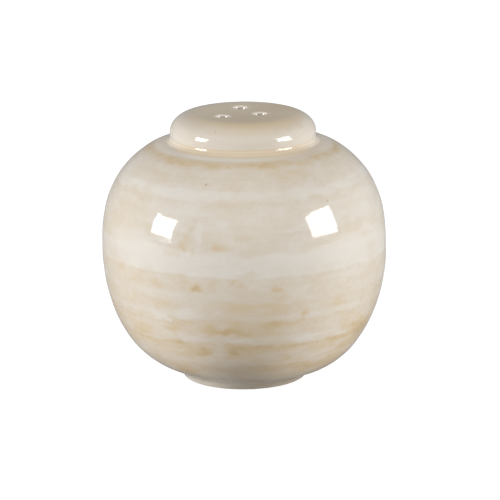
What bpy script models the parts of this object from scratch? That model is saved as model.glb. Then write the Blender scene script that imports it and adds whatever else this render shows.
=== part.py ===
"""Salt shaker: a hollow stoneware globe with a pierced drum cap, closed from below by a soft plug.

Lengths are in metres, +Z is up, and the origin is the middle of the circle that the foot ring stands on.
"""

import math

import bmesh
import bpy

MM = 0.001

# Globe, on its outside
BODY_DIAMETER = 72.0 * MM
EQUATOR_HEIGHT = 34.7 * MM
SHOULDER_RISE = 29.9 * MM
SHOULDER_FULLNESS = 2.49
BELLY_LIFT = 1.05 * MM
BELLY_FULLNESS = 3.3
BELLY_ROUNDNESS = 2.02

# Cap, moulded in one with the globe
CAP_DIAMETER = 36.9 * MM
CAP_SIDE = 1.1 * MM
CAP_EDGE_WIDTH = 6.3 * MM
CAP_EDGE_DROP = 4.7 * MM
CAP_DISH = 0.15 * MM

# Hollow around the neck, sunk a little into the shoulder, and the ledge that leads out of it
NECK_FILLET = 1.5 * MM
NECK_SINK = 0.55 * MM
NECK_REACH = 3.75 * MM
NECK_SWEEP = 80.0

# Pour holes, pierced by hand and so not quite evenly spread
POUR_HOLE_DIAMETER = 2.3 * MM
POUR_MOUTH_DIAMETER = 3.4 * MM
POUR_LIP = 0.3 * MM
POUR_CIRCLE_DIAMETER = 11.92 * MM
POUR_CIRCLE_ACROSS = -1.42 * MM
POUR_CIRCLE_ALONG = 0.29 * MM
POUR_ANGLES = (82.4, 231.9, 343.5)
POUR_FLARE = 72.3
POUR_LIP_START = 15.0

# Walls of the hollow
WALL = 3.6 * MM
CAP_ROOF = 3.4 * MM
HOLLOW_EDGE = 3.0 * MM
BASE_THICKNESS = 4.2 * MM

# Foot ring and the sunk base inside it
FOOT_DIAMETER = 30.0 * MM
FOOT_ROUND = 0.8 * MM
FOOT_FLARE = 5.0 * MM
FOOT_FLAT = 2.1 * MM
FOOT_INNER_ROUND = 0.8 * MM
SEAT_HEIGHT = 3.2 * MM
SEAT_FILLET = 0.8 * MM
FILL_HOLE_DIAMETER = 16.8 * MM
FILL_HOLE_EDGE = 0.7 * MM

# Stopper
SEAT_GAP = 0.3 * MM
FLANGE_CLEARANCE = 0.7 * MM
FLANGE_THICKNESS = 1.9 * MM
FLANGE_ROUND = 0.6 * MM
PLUG_CLEARANCE = 0.45 * MM
RIB_CLEARANCE = 0.12 * MM
RIB_HEIGHT = 1.0 * MM
RIB_COUNT = 2
PLUG_REACH = 3.4 * MM
NOSE_TAPER = 0.9 * MM
NOSE_ROUND = 1.0 * MM
PLUG_WALL = 1.5 * MM
PLUG_END = 2.0 * MM
FINGER_DRAFT = 0.4 * MM
GRIP_WIDTH = 2.0 * MM
GRIP_HEIGHT = 3.2 * MM
GRIP_SINK = 0.5 * MM
GRIP_ROUND = 0.5 * MM

# Fineness of the facets
BODY_STEPS = 56
STOPPER_STEPS = 40
CUTTER_STEPS = 16
DISH_RINGS = 3
CUTTER_OVERRUN = 1.0 * MM
AXIS_MERGE = 0.01 * MM

# Sizes that follow from the ones above
BODY_RADIUS = BODY_DIAMETER / 2
BELLY_DROP = EQUATOR_HEIGHT - BELLY_LIFT
CAP_RADIUS = CAP_DIAMETER / 2
PLATEAU_RADIUS = CAP_RADIUS - CAP_EDGE_WIDTH
FOOT_RADIUS = FOOT_DIAMETER / 2
RECESS_RADIUS = FOOT_RADIUS - FOOT_FLAT - FOOT_INNER_ROUND
FILL_HOLE_RADIUS = FILL_HOLE_DIAMETER / 2
FLOOR_HEIGHT = SEAT_HEIGHT + BASE_THICKNESS
PLUG_RADIUS = FILL_HOLE_RADIUS - PLUG_CLEARANCE
FINGER_RADIUS = PLUG_RADIUS - PLUG_WALL
FLANGE_BOTTOM = -SEAT_GAP - FLANGE_THICKNESS
RIGHT_ANGLE = math.pi / 2


def find_root(function, low, high):
    """Where a function that changes sign between low and high is zero."""
    rising = function(high) > 0
    for _ in range(60):
        middle = (low + high) / 2
        if (function(middle) > 0) == rising:
            high = middle
        else:
            low = middle
    return (low + high) / 2


def spread(start, end, count):
    """Evenly spaced values, both ends included exactly."""
    return [(start * (count - step) + end * step) / count for step in range(count + 1)]


def arc(centre, width, height, start, end, count):
    """Points of an elliptical arc, from one angle to another."""
    points = []
    for angle in spread(start, end, count):
        points.append((centre[0] + width * math.cos(angle), centre[1] + height * math.sin(angle)))
    return points


def round_arc(centre, radius, start, end, count):
    """Points of a circular arc."""
    return arc(centre, radius, radius, start, end, count)


def bridge(start, start_slope, end, end_slope, count):
    """A smooth run between two points that leaves and arrives at given slopes."""
    span = end[0] - start[0]
    points = []
    for share in spread(0.0, 1.0, count):
        rest = 1 - share
        level = start[1] * rest * rest * (1 + 2 * share) + end[1] * share * share * (1 + 2 * rest)
        bend = span * share * rest * (start_slope * rest - end_slope * share)
        points.append((start[0] + span * share, level + bend))
    return points


class GlobeQuarter:
    """The globe's wall above or below its widest ring: a superellipse, by angle from that ring.

    One power shapes it across and another along the axis.
    """

    def __init__(self, radius, reach, across_power, along_power, side):
        self.radius = radius
        self.reach = reach
        self.across_power = across_power
        self.along_power = along_power
        self.side = side

    def point(self, angle):
        rise = self.reach * math.sin(angle) ** (2 / self.along_power)
        radius = self.radius * math.cos(angle) ** (2 / self.across_power)
        return radius, EQUATOR_HEIGHT + self.side * rise

    def normal(self, angle):
        radius, height = self.point(angle)
        width_share = radius / self.radius
        rise_share = abs(height - EQUATOR_HEIGHT) / self.reach
        across = self.across_power * width_share ** (self.across_power - 1) / self.radius
        along = self.along_power * rise_share ** (self.along_power - 1) / self.reach
        length = math.hypot(across, along)
        return across / length, self.side * along / length

    def angle_at_radius(self, radius):
        return math.acos((radius / self.radius) ** (self.across_power / 2))

    def angle_at_height(self, height):
        rise = abs(height - EQUATOR_HEIGHT)
        return math.asin((rise / self.reach) ** (self.along_power / 2))

    def points(self, start, end, count):
        return [self.point(angle) for angle in spread(start, end, count)]


def globe_wall(inset, reach, across_power, along_power, side):
    """One half of the globe, on its outside or a wall's thickness further in."""
    return GlobeQuarter(BODY_RADIUS - inset, reach - inset, across_power, along_power, side)


SHOULDER = globe_wall(0.0, SHOULDER_RISE, SHOULDER_FULLNESS, SHOULDER_FULLNESS, 1)
BELLY = globe_wall(0.0, BELLY_DROP, BELLY_FULLNESS, BELLY_ROUNDNESS, -1)
INNER_SHOULDER = globe_wall(WALL, SHOULDER_RISE, SHOULDER_FULLNESS, SHOULDER_FULLNESS, 1)
INNER_BELLY = globe_wall(WALL, BELLY_DROP, BELLY_FULLNESS, BELLY_ROUNDNESS, -1)


def neck_fillet_centre():
    """Centre of the neck's hollow arc, which is also the height where the cap's side starts."""
    radius = CAP_RADIUS + NECK_FILLET
    shoulder = SHOULDER.point(SHOULDER.angle_at_radius(radius))[1]
    return radius, shoulder - NECK_SINK + NECK_FILLET


def ledge_angle():
    """Place on the shoulder where the ledge outside the neck's hollow runs into it."""
    return SHOULDER.angle_at_radius(CAP_RADIUS + NECK_REACH)


CAP_EDGE_HEIGHT = neck_fillet_centre()[1] + CAP_SIDE
CAP_TOP_HEIGHT = CAP_EDGE_HEIGHT + CAP_EDGE_DROP
ROOF_HEIGHT = CAP_TOP_HEIGHT - CAP_DISH - CAP_ROOF


def cap_top(radius):
    """Height of the cap's shallow dished top at a distance from the axis."""
    return CAP_TOP_HEIGHT - CAP_DISH * (1 - (radius / PLATEAU_RADIUS) ** 2) ** 2


def cap_profile():
    """Dished top, round edge, short side, hollow neck and ledge, from the axis out to the shoulder."""
    points = [(radius, cap_top(radius)) for radius in spread(0.0, PLATEAU_RADIUS, DISH_RINGS)[:-1]]
    points += arc((PLATEAU_RADIUS, CAP_EDGE_HEIGHT), CAP_EDGE_WIDTH, CAP_EDGE_DROP, RIGHT_ANGLE, 0.0, 6)
    sweep = math.radians(NECK_SWEEP)
    points += round_arc(neck_fillet_centre(), NECK_FILLET, math.pi, math.pi + sweep, 3)
    across, along = SHOULDER.normal(ledge_angle())
    shoulder = SHOULDER.point(ledge_angle())
    points += bridge(points[-1], -1 / math.tan(sweep), shoulder, -across / along, 3)[1:]
    return points


def flare_centre(angle):
    """Centre of a hollow arc that touches the belly from outside, at an angle on the belly."""
    radius, height = BELLY.point(angle)
    across, along = BELLY.normal(angle)
    return radius + FOOT_FLARE * across, height + FOOT_FLARE * along


def flare_angle():
    """Place on the belly where the foot's hollow flare leaves it, so that it meets the foot's round edge."""

    def clear_of_foot(angle):
        across, along = flare_centre(angle)
        return math.hypot(across - FOOT_RADIUS, along - FOOT_ROUND) - FOOT_FLARE - FOOT_ROUND

    return find_root(clear_of_foot, 0.0, BELLY.angle_at_radius(FOOT_RADIUS))


def globe_profile():
    """Shoulder and belly, from the ledge under the cap to the foot's flare."""
    shoulder = SHOULDER.points(ledge_angle(), 0.0, 9)
    belly = BELLY.points(0.0, flare_angle(), 10)
    return shoulder[1:] + belly[1:]


def foot_profile():
    """Flared foot ring, the sunk base that the stopper seats on, and the filling hole, going inwards."""
    across, along = BELLY.normal(flare_angle())
    centre = flare_centre(flare_angle())
    meeting = math.atan2(centre[1] - FOOT_ROUND, centre[0] - FOOT_RADIUS)
    points = round_arc(centre, FOOT_FLARE, math.atan2(-along, -across), math.pi + meeting, 3)[1:]
    points += round_arc((FOOT_RADIUS, FOOT_ROUND), FOOT_ROUND, meeting, -RIGHT_ANGLE, 3)[1:]
    inner_flat = FOOT_RADIUS - FOOT_FLAT
    points += round_arc((inner_flat, FOOT_INNER_ROUND), FOOT_INNER_ROUND, -RIGHT_ANGLE, -math.pi, 2)
    corner = (RECESS_RADIUS - SEAT_FILLET, SEAT_HEIGHT - SEAT_FILLET)
    points += round_arc(corner, SEAT_FILLET, 0.0, RIGHT_ANGLE, 2)
    edge_radius = FILL_HOLE_RADIUS + FILL_HOLE_EDGE
    lower_edge = (edge_radius, SEAT_HEIGHT + FILL_HOLE_EDGE)
    points += round_arc(lower_edge, FILL_HOLE_EDGE, -RIGHT_ANGLE, -math.pi, 2)
    upper_edge = (edge_radius, FLOOR_HEIGHT - FILL_HOLE_EDGE)
    points += round_arc(upper_edge, FILL_HOLE_EDGE, math.pi, RIGHT_ANGLE, 2)
    return points


def hollow_profile():
    """Inside of the shell, from its floor up to the roof under the pour holes."""
    points = INNER_BELLY.points(INNER_BELLY.angle_at_height(FLOOR_HEIGHT), 0.0, 6)
    hollow_radius = CAP_RADIUS - WALL
    points += INNER_SHOULDER.points(0.0, INNER_SHOULDER.angle_at_radius(hollow_radius), 6)[1:]
    corner = (hollow_radius - HOLLOW_EDGE, ROOF_HEIGHT - HOLLOW_EDGE)
    points += round_arc(corner, HOLLOW_EDGE, 0.0, RIGHT_ANGLE, 2)
    points.append((0.0, ROOF_HEIGHT))
    return points


def pour_hole_profile():
    """A drill with a flared mouth and a round lip that meets the cap's surface, at height zero."""
    hole_radius = POUR_HOLE_DIAMETER / 2
    mouth_radius = POUR_MOUTH_DIAMETER / 2
    flare = math.radians(POUR_FLARE)
    start = math.radians(POUR_LIP_START)
    rim = (mouth_radius + POUR_LIP * math.sin(flare), -POUR_LIP)
    lip = round_arc(rim, POUR_LIP, RIGHT_ANGLE + start, RIGHT_ANGLE + flare, 3)
    slant = (CUTTER_OVERRUN - lip[0][1]) / math.tan(start)
    top = [(0.0, CUTTER_OVERRUN), (lip[0][0] + slant, CUTTER_OVERRUN)]
    throat = lip[-1][1] - (mouth_radius - hole_radius) * math.tan(flare)
    bottom = -CAP_ROOF - CAP_DISH - CUTTER_OVERRUN
    return top + lip + [(hole_radius, throat), (hole_radius, bottom), (0.0, bottom)]


def rib_heights():
    """Middles of the sealing ribs, spread over the straight wall of the filling hole."""
    wall = BASE_THICKNESS - 2 * FILL_HOLE_EDGE
    return [FILL_HOLE_EDGE + wall * (rib + 0.5) / RIB_COUNT for rib in reversed(range(RIB_COUNT))]


def stopper_profile():
    """Ribbed plug, flange and finger hollow, with the seat on the ceramic as height zero."""
    plug_top = BASE_THICKNESS + PLUG_REACH
    nose_radius = PLUG_RADIUS - NOSE_TAPER
    nose = (nose_radius - NOSE_ROUND, plug_top - NOSE_ROUND)
    points = [(0.0, plug_top)]
    points += round_arc(nose, NOSE_ROUND, RIGHT_ANGLE, 0.0, 3)
    points.append((PLUG_RADIUS, BASE_THICKNESS))
    rib_reach = PLUG_CLEARANCE - RIB_CLEARANCE
    for height in rib_heights():
        points += arc((PLUG_RADIUS, height), rib_reach, RIB_HEIGHT / 2, RIGHT_ANGLE, -RIGHT_ANGLE, 3)
    flange_radius = RECESS_RADIUS - FLANGE_CLEARANCE
    points.append((PLUG_RADIUS, -SEAT_GAP))
    rim_radius = flange_radius - FLANGE_ROUND
    points += round_arc((rim_radius, -SEAT_GAP - FLANGE_ROUND), FLANGE_ROUND, RIGHT_ANGLE, 0.0, 2)
    points += round_arc((rim_radius, FLANGE_BOTTOM + FLANGE_ROUND), FLANGE_ROUND, 0.0, -RIGHT_ANGLE, 2)
    mouth = (FINGER_RADIUS + FLANGE_ROUND, FLANGE_BOTTOM + FLANGE_ROUND)
    points += round_arc(mouth, FLANGE_ROUND, -RIGHT_ANGLE, -math.pi, 2)
    ceiling = plug_top - PLUG_END
    deep_radius = FINGER_RADIUS - FINGER_DRAFT
    points += round_arc((deep_radius - NOSE_ROUND, ceiling - NOSE_ROUND), NOSE_ROUND, 0.0, RIGHT_ANGLE, 3)
    points.append((0.0, ceiling))
    return points


def make_collection(name):
    collection = bpy.data.collections.new(name)
    bpy.context.scene.collection.children.link(collection)
    return collection


def add_object(name, mesh, collection, parent=None):
    piece = bpy.data.objects.new(name, mesh)
    collection.objects.link(piece)
    piece.parent = parent
    return piece


def turn_profile(name, profile, steps, collection, parent=None):
    """A profile in the XZ plane, turned once around Z."""
    mesh = bpy.data.meshes.new(name)
    corners = [(radius, 0.0, height) for radius, height in profile]
    edges = [(index, index + 1) for index in range(len(corners) - 1)]
    mesh.from_pydata(corners, edges, [])
    piece = add_object(name, mesh, collection, parent)
    turn = piece.modifiers.new("Turn", "SCREW")
    turn.axis = "Z"
    turn.angle = 2 * math.pi
    turn.steps = steps
    turn.render_steps = steps
    turn.use_smooth_shade = True
    turn.use_merge_vertices = True
    turn.merge_threshold = AXIS_MERGE
    return piece


def set_helper(helper):
    helper.hide_render = True
    helper.display_type = "WIRE"


def combine(piece, helper, operation):
    boolean = piece.modifiers.new(helper.name, "BOOLEAN")
    boolean.operation = operation
    boolean.solver = "EXACT"
    boolean.object = helper
    set_helper(helper)


def give_surface(piece, name, colour, roughness):
    """A material of the piece's own."""
    material = bpy.data.materials.new(name)
    material.use_nodes = True
    shader = material.node_tree.nodes["Principled BSDF"]
    shader.inputs["Base Color"].default_value = (*colour, 1.0)
    shader.inputs["Roughness"].default_value = roughness
    shader.inputs["Metallic"].default_value = 0.0
    piece.data.materials.append(material)


def make_ceramic_body(parts, cutters, parent):
    """The fired shell: globe, cap and foot in one turned profile, with the pour holes cut into the cap."""
    profile = cap_profile() + globe_profile() + foot_profile() + hollow_profile()
    body = turn_profile("ceramic_body", profile, BODY_STEPS, parts, parent)
    for number, degrees in enumerate(POUR_ANGLES, start=1):
        cutter = turn_profile(f"pour_hole_{number}", pour_hole_profile(), CUTTER_STEPS, cutters, parent)
        angle = math.radians(degrees)
        across = POUR_CIRCLE_ACROSS + POUR_CIRCLE_DIAMETER / 2 * math.cos(angle)
        along = POUR_CIRCLE_ALONG + POUR_CIRCLE_DIAMETER / 2 * math.sin(angle)
        cutter.location = (across, along, cap_top(math.hypot(across, along)))
        combine(body, cutter, "DIFFERENCE")
    give_surface(body, "glazed_stoneware", (0.61, 0.54, 0.45), 0.12)
    return body


def make_grip_bar(helpers, parent):
    """The bar across the plug's finger hollow, rooted half-way into its wall on both sides."""
    mesh = bpy.data.meshes.new("grip_bar")
    cage = bmesh.new()
    bmesh.ops.create_cube(cage, size=1.0)
    length = 2 * FINGER_RADIUS + PLUG_WALL
    bmesh.ops.scale(cage, vec=(length, GRIP_WIDTH, GRIP_HEIGHT), verts=cage.verts)
    cage.to_mesh(mesh)
    cage.free()
    bar = add_object("grip_bar", mesh, helpers, parent)
    bar.location.z = FLANGE_BOTTOM + GRIP_SINK + GRIP_HEIGHT / 2
    rounding = bar.modifiers.new("Round", "BEVEL")
    rounding.width = GRIP_ROUND
    rounding.segments = 2
    return bar


def make_stopper(parts, helpers, parent):
    """The soft plug, on its own empty where its slide axis crosses the seat."""
    seat = add_object("stopper_seat", None, parts, parent)
    seat.location.z = SEAT_HEIGHT
    stopper = turn_profile("base_stopper", stopper_profile(), STOPPER_STEPS, parts, seat)
    combine(stopper, make_grip_bar(helpers, seat), "UNION")
    give_surface(stopper, "soft_rubber", (0.62, 0.60, 0.56), 0.5)
    return stopper


def main():
    for old in list(bpy.data.objects):
        bpy.data.objects.remove(old, do_unlink=True)
    parts = make_collection("salt_shaker")
    helpers = make_collection("salt_shaker_helpers")
    helpers.hide_render = True
    root = add_object("salt_shaker_root", None, parts)
    make_ceramic_body(parts, helpers, root)
    make_stopper(parts, helpers, root)
    bpy.context.view_layer.update()


main()
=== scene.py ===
"""Salt shaker, dressed: a thrown stoneware globe under a banded cream glaze, with a soft plug in its base.

Lengths are in metres, +Z is up, and the origin is the middle of the circle that the foot ring stands on. The
camera looks along +Y, so +X lies to the viewer's right. Glaze places are given in millimetres and degrees.
"""

import logging
import math
from collections.abc import Callable, Iterable, Sequence
from dataclasses import dataclass, field
from enum import Enum

import bmesh
import bpy
import numpy as np
from mathutils import Matrix, Quaternion, Vector
from mathutils.geometry import delaunay_2d_cdt

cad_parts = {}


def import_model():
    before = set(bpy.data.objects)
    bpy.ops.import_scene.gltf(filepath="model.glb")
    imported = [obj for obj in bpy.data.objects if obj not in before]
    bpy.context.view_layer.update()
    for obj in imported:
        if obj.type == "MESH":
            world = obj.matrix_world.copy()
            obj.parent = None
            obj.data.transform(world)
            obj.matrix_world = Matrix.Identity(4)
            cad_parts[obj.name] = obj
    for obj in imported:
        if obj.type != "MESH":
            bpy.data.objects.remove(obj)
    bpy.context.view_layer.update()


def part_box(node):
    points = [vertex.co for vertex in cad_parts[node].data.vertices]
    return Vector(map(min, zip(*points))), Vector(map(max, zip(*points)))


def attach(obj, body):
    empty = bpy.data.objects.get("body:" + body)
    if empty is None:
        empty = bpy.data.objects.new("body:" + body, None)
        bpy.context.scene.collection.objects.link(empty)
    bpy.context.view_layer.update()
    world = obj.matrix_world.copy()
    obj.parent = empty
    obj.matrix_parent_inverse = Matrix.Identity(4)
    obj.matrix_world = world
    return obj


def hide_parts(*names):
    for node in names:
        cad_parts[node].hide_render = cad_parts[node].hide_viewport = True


MM = 0.001
RIGHT_ANGLE = math.pi / 2
WELD = 0.002 * MM
HALVINGS = 60
TRIANGLE_MARGIN = 1e-7

Point = tuple[float, float]
Outline = list[Point]
Triple = tuple[float, float, float]
Colour = Triple
Socket = bpy.types.NodeSocket
Wire = Socket | float | Sequence[float]
Wires = dict[str | int, Wire]

FRONT: Triple = (0.0, -1.0, 0.0)
LEFT_FRONT: Triple = (-0.5, -0.87, 0.0)

log = logging.getLogger("salt_shaker")


class Body(Enum):
    """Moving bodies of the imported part."""

    SHAKER = "shaker"
    STOPPER = "stopper"


class CadNode(Enum):
    """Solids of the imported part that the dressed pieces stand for."""

    CERAMIC = "ceramic_body"
    STOPPER = "base_stopper"


class Slot(Enum):
    """Material slots of the record."""

    STONEWARE = "glazed_stoneware"
    RUBBER = "soft_rubber"


class GlazeTone(Enum):
    """How far the iron in the glaze shows, from opaque white to where it has run and turned brown."""

    WHITE = 0.0
    MILK = 0.1
    PALE = 0.19
    IVORY = 0.28
    CREAM = 0.36
    BUFF = 0.44
    STRAW = 0.54
    TAN = 0.7
    OCHRE = 0.86
    BROWN = 1.0


WHITE, MILK, PALE, IVORY, CREAM, BUFF, STRAW, TAN, OCHRE, BROWN = GlazeTone


def spread(start: float, end: float, count: int) -> list[float]:
    """Evenly spaced values.

    Args:
        start: First value.
        end: Last value.
        count: Number of steps between them.

    Returns:
        The count + 1 values, with both ends exact.
    """
    return [(start * (count - step) + end * step) / count for step in range(count + 1)]


def arc(centre: Point, width: float, height: float, start: float, end: float, count: int) -> Outline:
    """Points of an elliptical arc.

    Args:
        centre: Middle of the ellipse, as radius and height.
        width: Half-axis along the radius.
        height: Half-axis along the height.
        start: First angle, in radians.
        end: Last angle, in radians.
        count: Number of steps.

    Returns:
        The points, both ends included.
    """
    angles = spread(start, end, count)
    return [(centre[0] + width * math.cos(turn), centre[1] + height * math.sin(turn)) for turn in angles]


def round_arc(centre: Point, radius: float, start: float, end: float, count: int) -> Outline:
    """Points of a circular arc, with the same arguments as an elliptical one."""
    return arc(centre, radius, radius, start, end, count)


def circle(centre: Point, radius: float, count: int) -> list[Point]:
    """A closed ring of points in plan.

    Args:
        centre: Its middle.
        radius: Its radius.
        count: Number of points.

    Returns:
        The points, the first one only once.
    """
    turns = np.arange(count) * 2 * math.pi / count
    across, along = centre
    return [(across + radius * math.cos(turn), along + radius * math.sin(turn)) for turn in turns]


def bridge(start: Point, start_slope: float, end: Point, end_slope: float, count: int) -> Outline:
    """A smooth run between two points that leaves and arrives at given slopes.

    Args:
        start: First point.
        start_slope: Height over radius there.
        end: Last point.
        end_slope: Height over radius there.
        count: Number of steps.

    Returns:
        The points, both ends included.
    """
    span = end[0] - start[0]
    points = []
    for share in spread(0.0, 1.0, count):
        rest = 1 - share
        level = start[1] * rest * rest * (1 + 2 * share) + end[1] * share * share * (1 + 2 * rest)
        lean = span * share * rest * (start_slope * rest - end_slope * share)
        points.append((start[0] + span * share, level + lean))
    return points


def ease(values: np.ndarray, low: float, high: float) -> np.ndarray:
    """Smooth step.

    Args:
        values: Where to read it.
        low: Where it starts to rise from 0.
        high: Where it reaches 1.

    Returns:
        The step at each value.
    """
    share = np.clip((values - low) / (high - low), 0.0, 1.0)
    return share * share * (3 - 2 * share)


def find_root(function: Callable[[float], float], low: float, high: float) -> float:
    """Where a function that changes sign is zero.

    Args:
        function: A function of one number.
        low: One side of the root.
        high: Its other side.

    Returns:
        The root.
    """
    rising = function(high) > 0
    for _ in range(HALVINGS):
        middle = (low + high) / 2
        if (function(middle) > 0) == rising:
            high = middle
        else:
            low = middle
    return (low + high) / 2


@dataclass
class MeshBuilder:
    """Collects surfaces and welds them into one closed mesh.

    Attributes:
        segments: Steps of one full turn.
        corners: Points taken in so far.
        faces: Faces taken in so far, as indices into those points.
    """

    segments: int
    corners: list[Sequence[float]] = field(default_factory=list)
    faces: list[Sequence[int]] = field(default_factory=list)

    def add(self, corners: Iterable[Sequence[float]], faces: Iterable[Sequence[int]]) -> None:
        """Takes in one surface.

        Args:
            corners: Its points.
            faces: Its faces, as indices into those points.
        """
        first = len(self.corners)
        self.corners.extend(corners)
        self.faces.extend([first + index for index in face] for face in faces)

    def turn(self, outline: Outline, marks: "ThrowingMarks | None" = None) -> None:
        """Turns an outline around Z.

        Args:
            outline: Radius and height of each of its points.
            marks: Unevenness to press into the surface, if any.
        """
        angles = np.arange(self.segments) * 2 * math.pi / self.segments
        radii = np.repeat(np.array(outline)[:, :1], self.segments, axis=1)
        heights = np.repeat(np.array(outline)[:, 1:], self.segments, axis=1)
        if marks:
            radii, heights = marks.press(radii, heights, angles[None, :])
        grid = np.stack([radii * np.cos(angles), radii * np.sin(angles), heights], axis=-1)
        self.add(grid.reshape(-1, 3).tolist(), self.strip(len(outline)))

    def strip(self, rows: int) -> list[tuple[int, ...]]:
        """Quads between closed rings of points that follow one another.

        Args:
            rows: Number of rings.

        Returns:
            The quads, as indices into the points of all rings in order.
        """
        quads = []
        for row in range(rows - 1):
            for step in range(self.segments):
                here = row * self.segments + step
                beside = row * self.segments + (step + 1) % self.segments
                quads.append((here, here + self.segments, beside + self.segments, beside))
        return quads

    def finish(self, name: str, crease: float) -> bpy.types.Object:
        """Welds the surfaces and puts them in the scene.

        Args:
            name: Name of the piece.
            crease: Edges that turn by more than this angle stay sharp.

        Returns:
            The piece, shaded smooth.
        """
        mesh = bpy.data.meshes.new(name)
        mesh.from_pydata(self.corners, [], self.faces)
        work = bmesh.new()
        work.from_mesh(mesh)
        bmesh.ops.remove_doubles(work, verts=work.verts, dist=WELD)
        bmesh.ops.recalc_face_normals(work, faces=work.faces)
        work.to_mesh(mesh)
        work.free()
        mesh.shade_smooth()
        mesh.set_sharp_from_angle(angle=crease)
        return add_piece(name, mesh)


def add_piece(name: str, mesh: bpy.types.Mesh) -> bpy.types.Object:
    """Puts a mesh in the scene under a name.

    Args:
        name: Name of the piece.
        mesh: Its mesh.

    Returns:
        The new object.
    """
    piece = bpy.data.objects.new(name, mesh)
    bpy.context.scene.collection.objects.link(piece)
    return piece


class NodeCanvas:
    """Places nodes in one node tree and wires their sockets."""

    def __init__(self, tree: bpy.types.NodeTree) -> None:
        """Keeps the tree to draw in."""
        self.tree = tree

    def add(self, kind: str, wires: Wires | None = None, **settings: object) -> bpy.types.Node:
        """Adds a node.

        Args:
            kind: Blender's name for the type of node.
            wires: Sockets or plain values for its inputs.
            **settings: Properties of the node.

        Returns:
            The node.
        """
        node = self.tree.nodes.new(kind)
        for name, value in settings.items():
            setattr(node, name, value)
        for name, value in (wires or {}).items():
            self.wire(node.inputs[name], value)
        return node

    def wire(self, target: Socket, value: Wire) -> None:
        """Links a socket to another one, or sets its plain value.

        Args:
            target: The socket to feed.
            value: Another socket, or the value.
        """
        if isinstance(value, Socket):
            self.tree.links.new(value, target)
        else:
            target.default_value = value

    def maths(self, operation: str, first: Wire, second: Wire = 0.0, third: Wire = 0.0) -> Socket:
        """Arithmetic on numbers.

        Args:
            operation: Blender's name for it.
            first: First number.
            second: Second number, where the operation has one.
            third: Third number, where the operation has one.

        Returns:
            The result.
        """
        return self.add("ShaderNodeMath", {0: first, 1: second, 2: third}, operation=operation).outputs[0]

    def times(self, first: Wire, second: Wire) -> Socket:
        """Product of two numbers."""
        return self.maths("MULTIPLY", first, second)

    def line(self, value: Wire, slope: Wire, start: Wire) -> Socket:
        """A number times a slope, on top of a start."""
        return self.maths("MULTIPLY_ADD", value, slope, start)

    def wobble(self, share: Wire, depth: float) -> Socket:
        """A share from 0 to 1, turned into a change by half the depth either way."""
        return self.line(share, depth, -depth / 2)

    def vector(self, operation: str, first: Wire, second: Wire = (0.0, 0.0, 0.0)) -> bpy.types.Node:
        """A vector node, whose first output is a vector and second a number."""
        return self.add("ShaderNodeVectorMath", {0: first, 1: second}, operation=operation)

    def scaled(self, vector: Wire, factors: Wire) -> Socket:
        """A vector times a factor along each axis."""
        return self.vector("MULTIPLY", vector, factors).outputs[0]

    def facing(self, direction: Wire, towards: Wire) -> Socket:
        """How far a direction points the way of another: 1 along it, -1 against it."""
        return self.vector("DOT_PRODUCT", direction, towards).outputs[1]

    def distance(self, place: Wire, centre: Wire, reach: Wire) -> Socket:
        """Distance of a place from a centre, counted in a reach along each axis."""
        away = self.vector("SUBTRACT", place, centre).outputs[0]
        return self.vector("LENGTH", self.vector("DIVIDE", away, reach).outputs[0]).outputs[1]

    def step(self, value: Wire, low: Wire, high: Wire, start: float = 0.0, end: float = 1.0) -> Socket:
        """Smooth change of a value.

        Args:
            value: What is read.
            low: Where the change starts.
            high: Where it ends.
            start: Result below low.
            end: Result above high.

        Returns:
            The result.
        """
        wires = {"Value": value, "From Min": low, "From Max": high, "To Min": start, "To Max": end}
        return self.add("ShaderNodeMapRange", wires, interpolation_type="SMOOTHSTEP").outputs[0]

    def near(self, value: Wire, middle: float, reach: Point) -> Socket:
        """Share that is 1 around a value and fades to 0 away from it.

        Args:
            value: What is read.
            middle: The value around which it lies.
            reach: How far from there it starts to fade and ends.

        Returns:
            The share.
        """
        away = self.maths("ABSOLUTE", self.maths("SUBTRACT", value, middle))
        return self.step(away, *reach, 1.0, 0.0)

    def noise(self, vector: Wire, detail: float, roughness: float) -> Socket:
        """Cloudy noise from 0 to 1."""
        wires = {"Vector": vector, "Scale": 1.0, "Detail": detail, "Roughness": roughness}
        return self.add("ShaderNodeTexNoise", wires).outputs[0]

    def blend_numbers(self, share: Wire, first: Wire, second: Wire) -> Socket:
        """One number faded into another by a share."""
        return self.add("ShaderNodeMix", {0: share, 2: first, 3: second}, data_type="FLOAT").outputs[0]

    def blend_colours(self, share: Wire, first: Wire, second: Wire) -> Socket:
        """One colour faded into another by a share."""
        wires = {0: share, 6: opaque(first), 7: opaque(second)}
        return self.add("ShaderNodeMix", wires, data_type="RGBA").outputs[2]

    def ramp(self, value: Wire, stops: Iterable[tuple[float, Colour]], easing: str) -> Socket:
        """Colour by position.

        Args:
            value: Position from 0 to 1.
            stops: Positions and their colours, in rising order.
            easing: Blender's name for the way between the stops.

        Returns:
            The colour.
        """
        node = self.add("ShaderNodeValToRGB", {0: value})
        node.color_ramp.interpolation = easing
        elements = node.color_ramp.elements
        elements.remove(elements[1])
        for number, (place, colour) in enumerate(stops):
            element = elements[0] if number == 0 else elements.new(place)
            element.position = place
            element.color = opaque(colour)
        return node.outputs[0]

    def group(self, tree: bpy.types.NodeTree, wires: Wires) -> Socket:
        """Places a shared group and gives its first output."""
        return self.add("ShaderNodeGroup", wires, node_tree=tree).outputs[0]


def opaque(colour: Wire) -> Wire:
    """A colour with full alpha; a socket passes through as it is."""
    return colour if isinstance(colour, Socket) else (*colour, 1.0)


def thrice(number: float) -> Triple:
    """The same number three times, for a grey or for every axis."""
    return (number, number, number)


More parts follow.
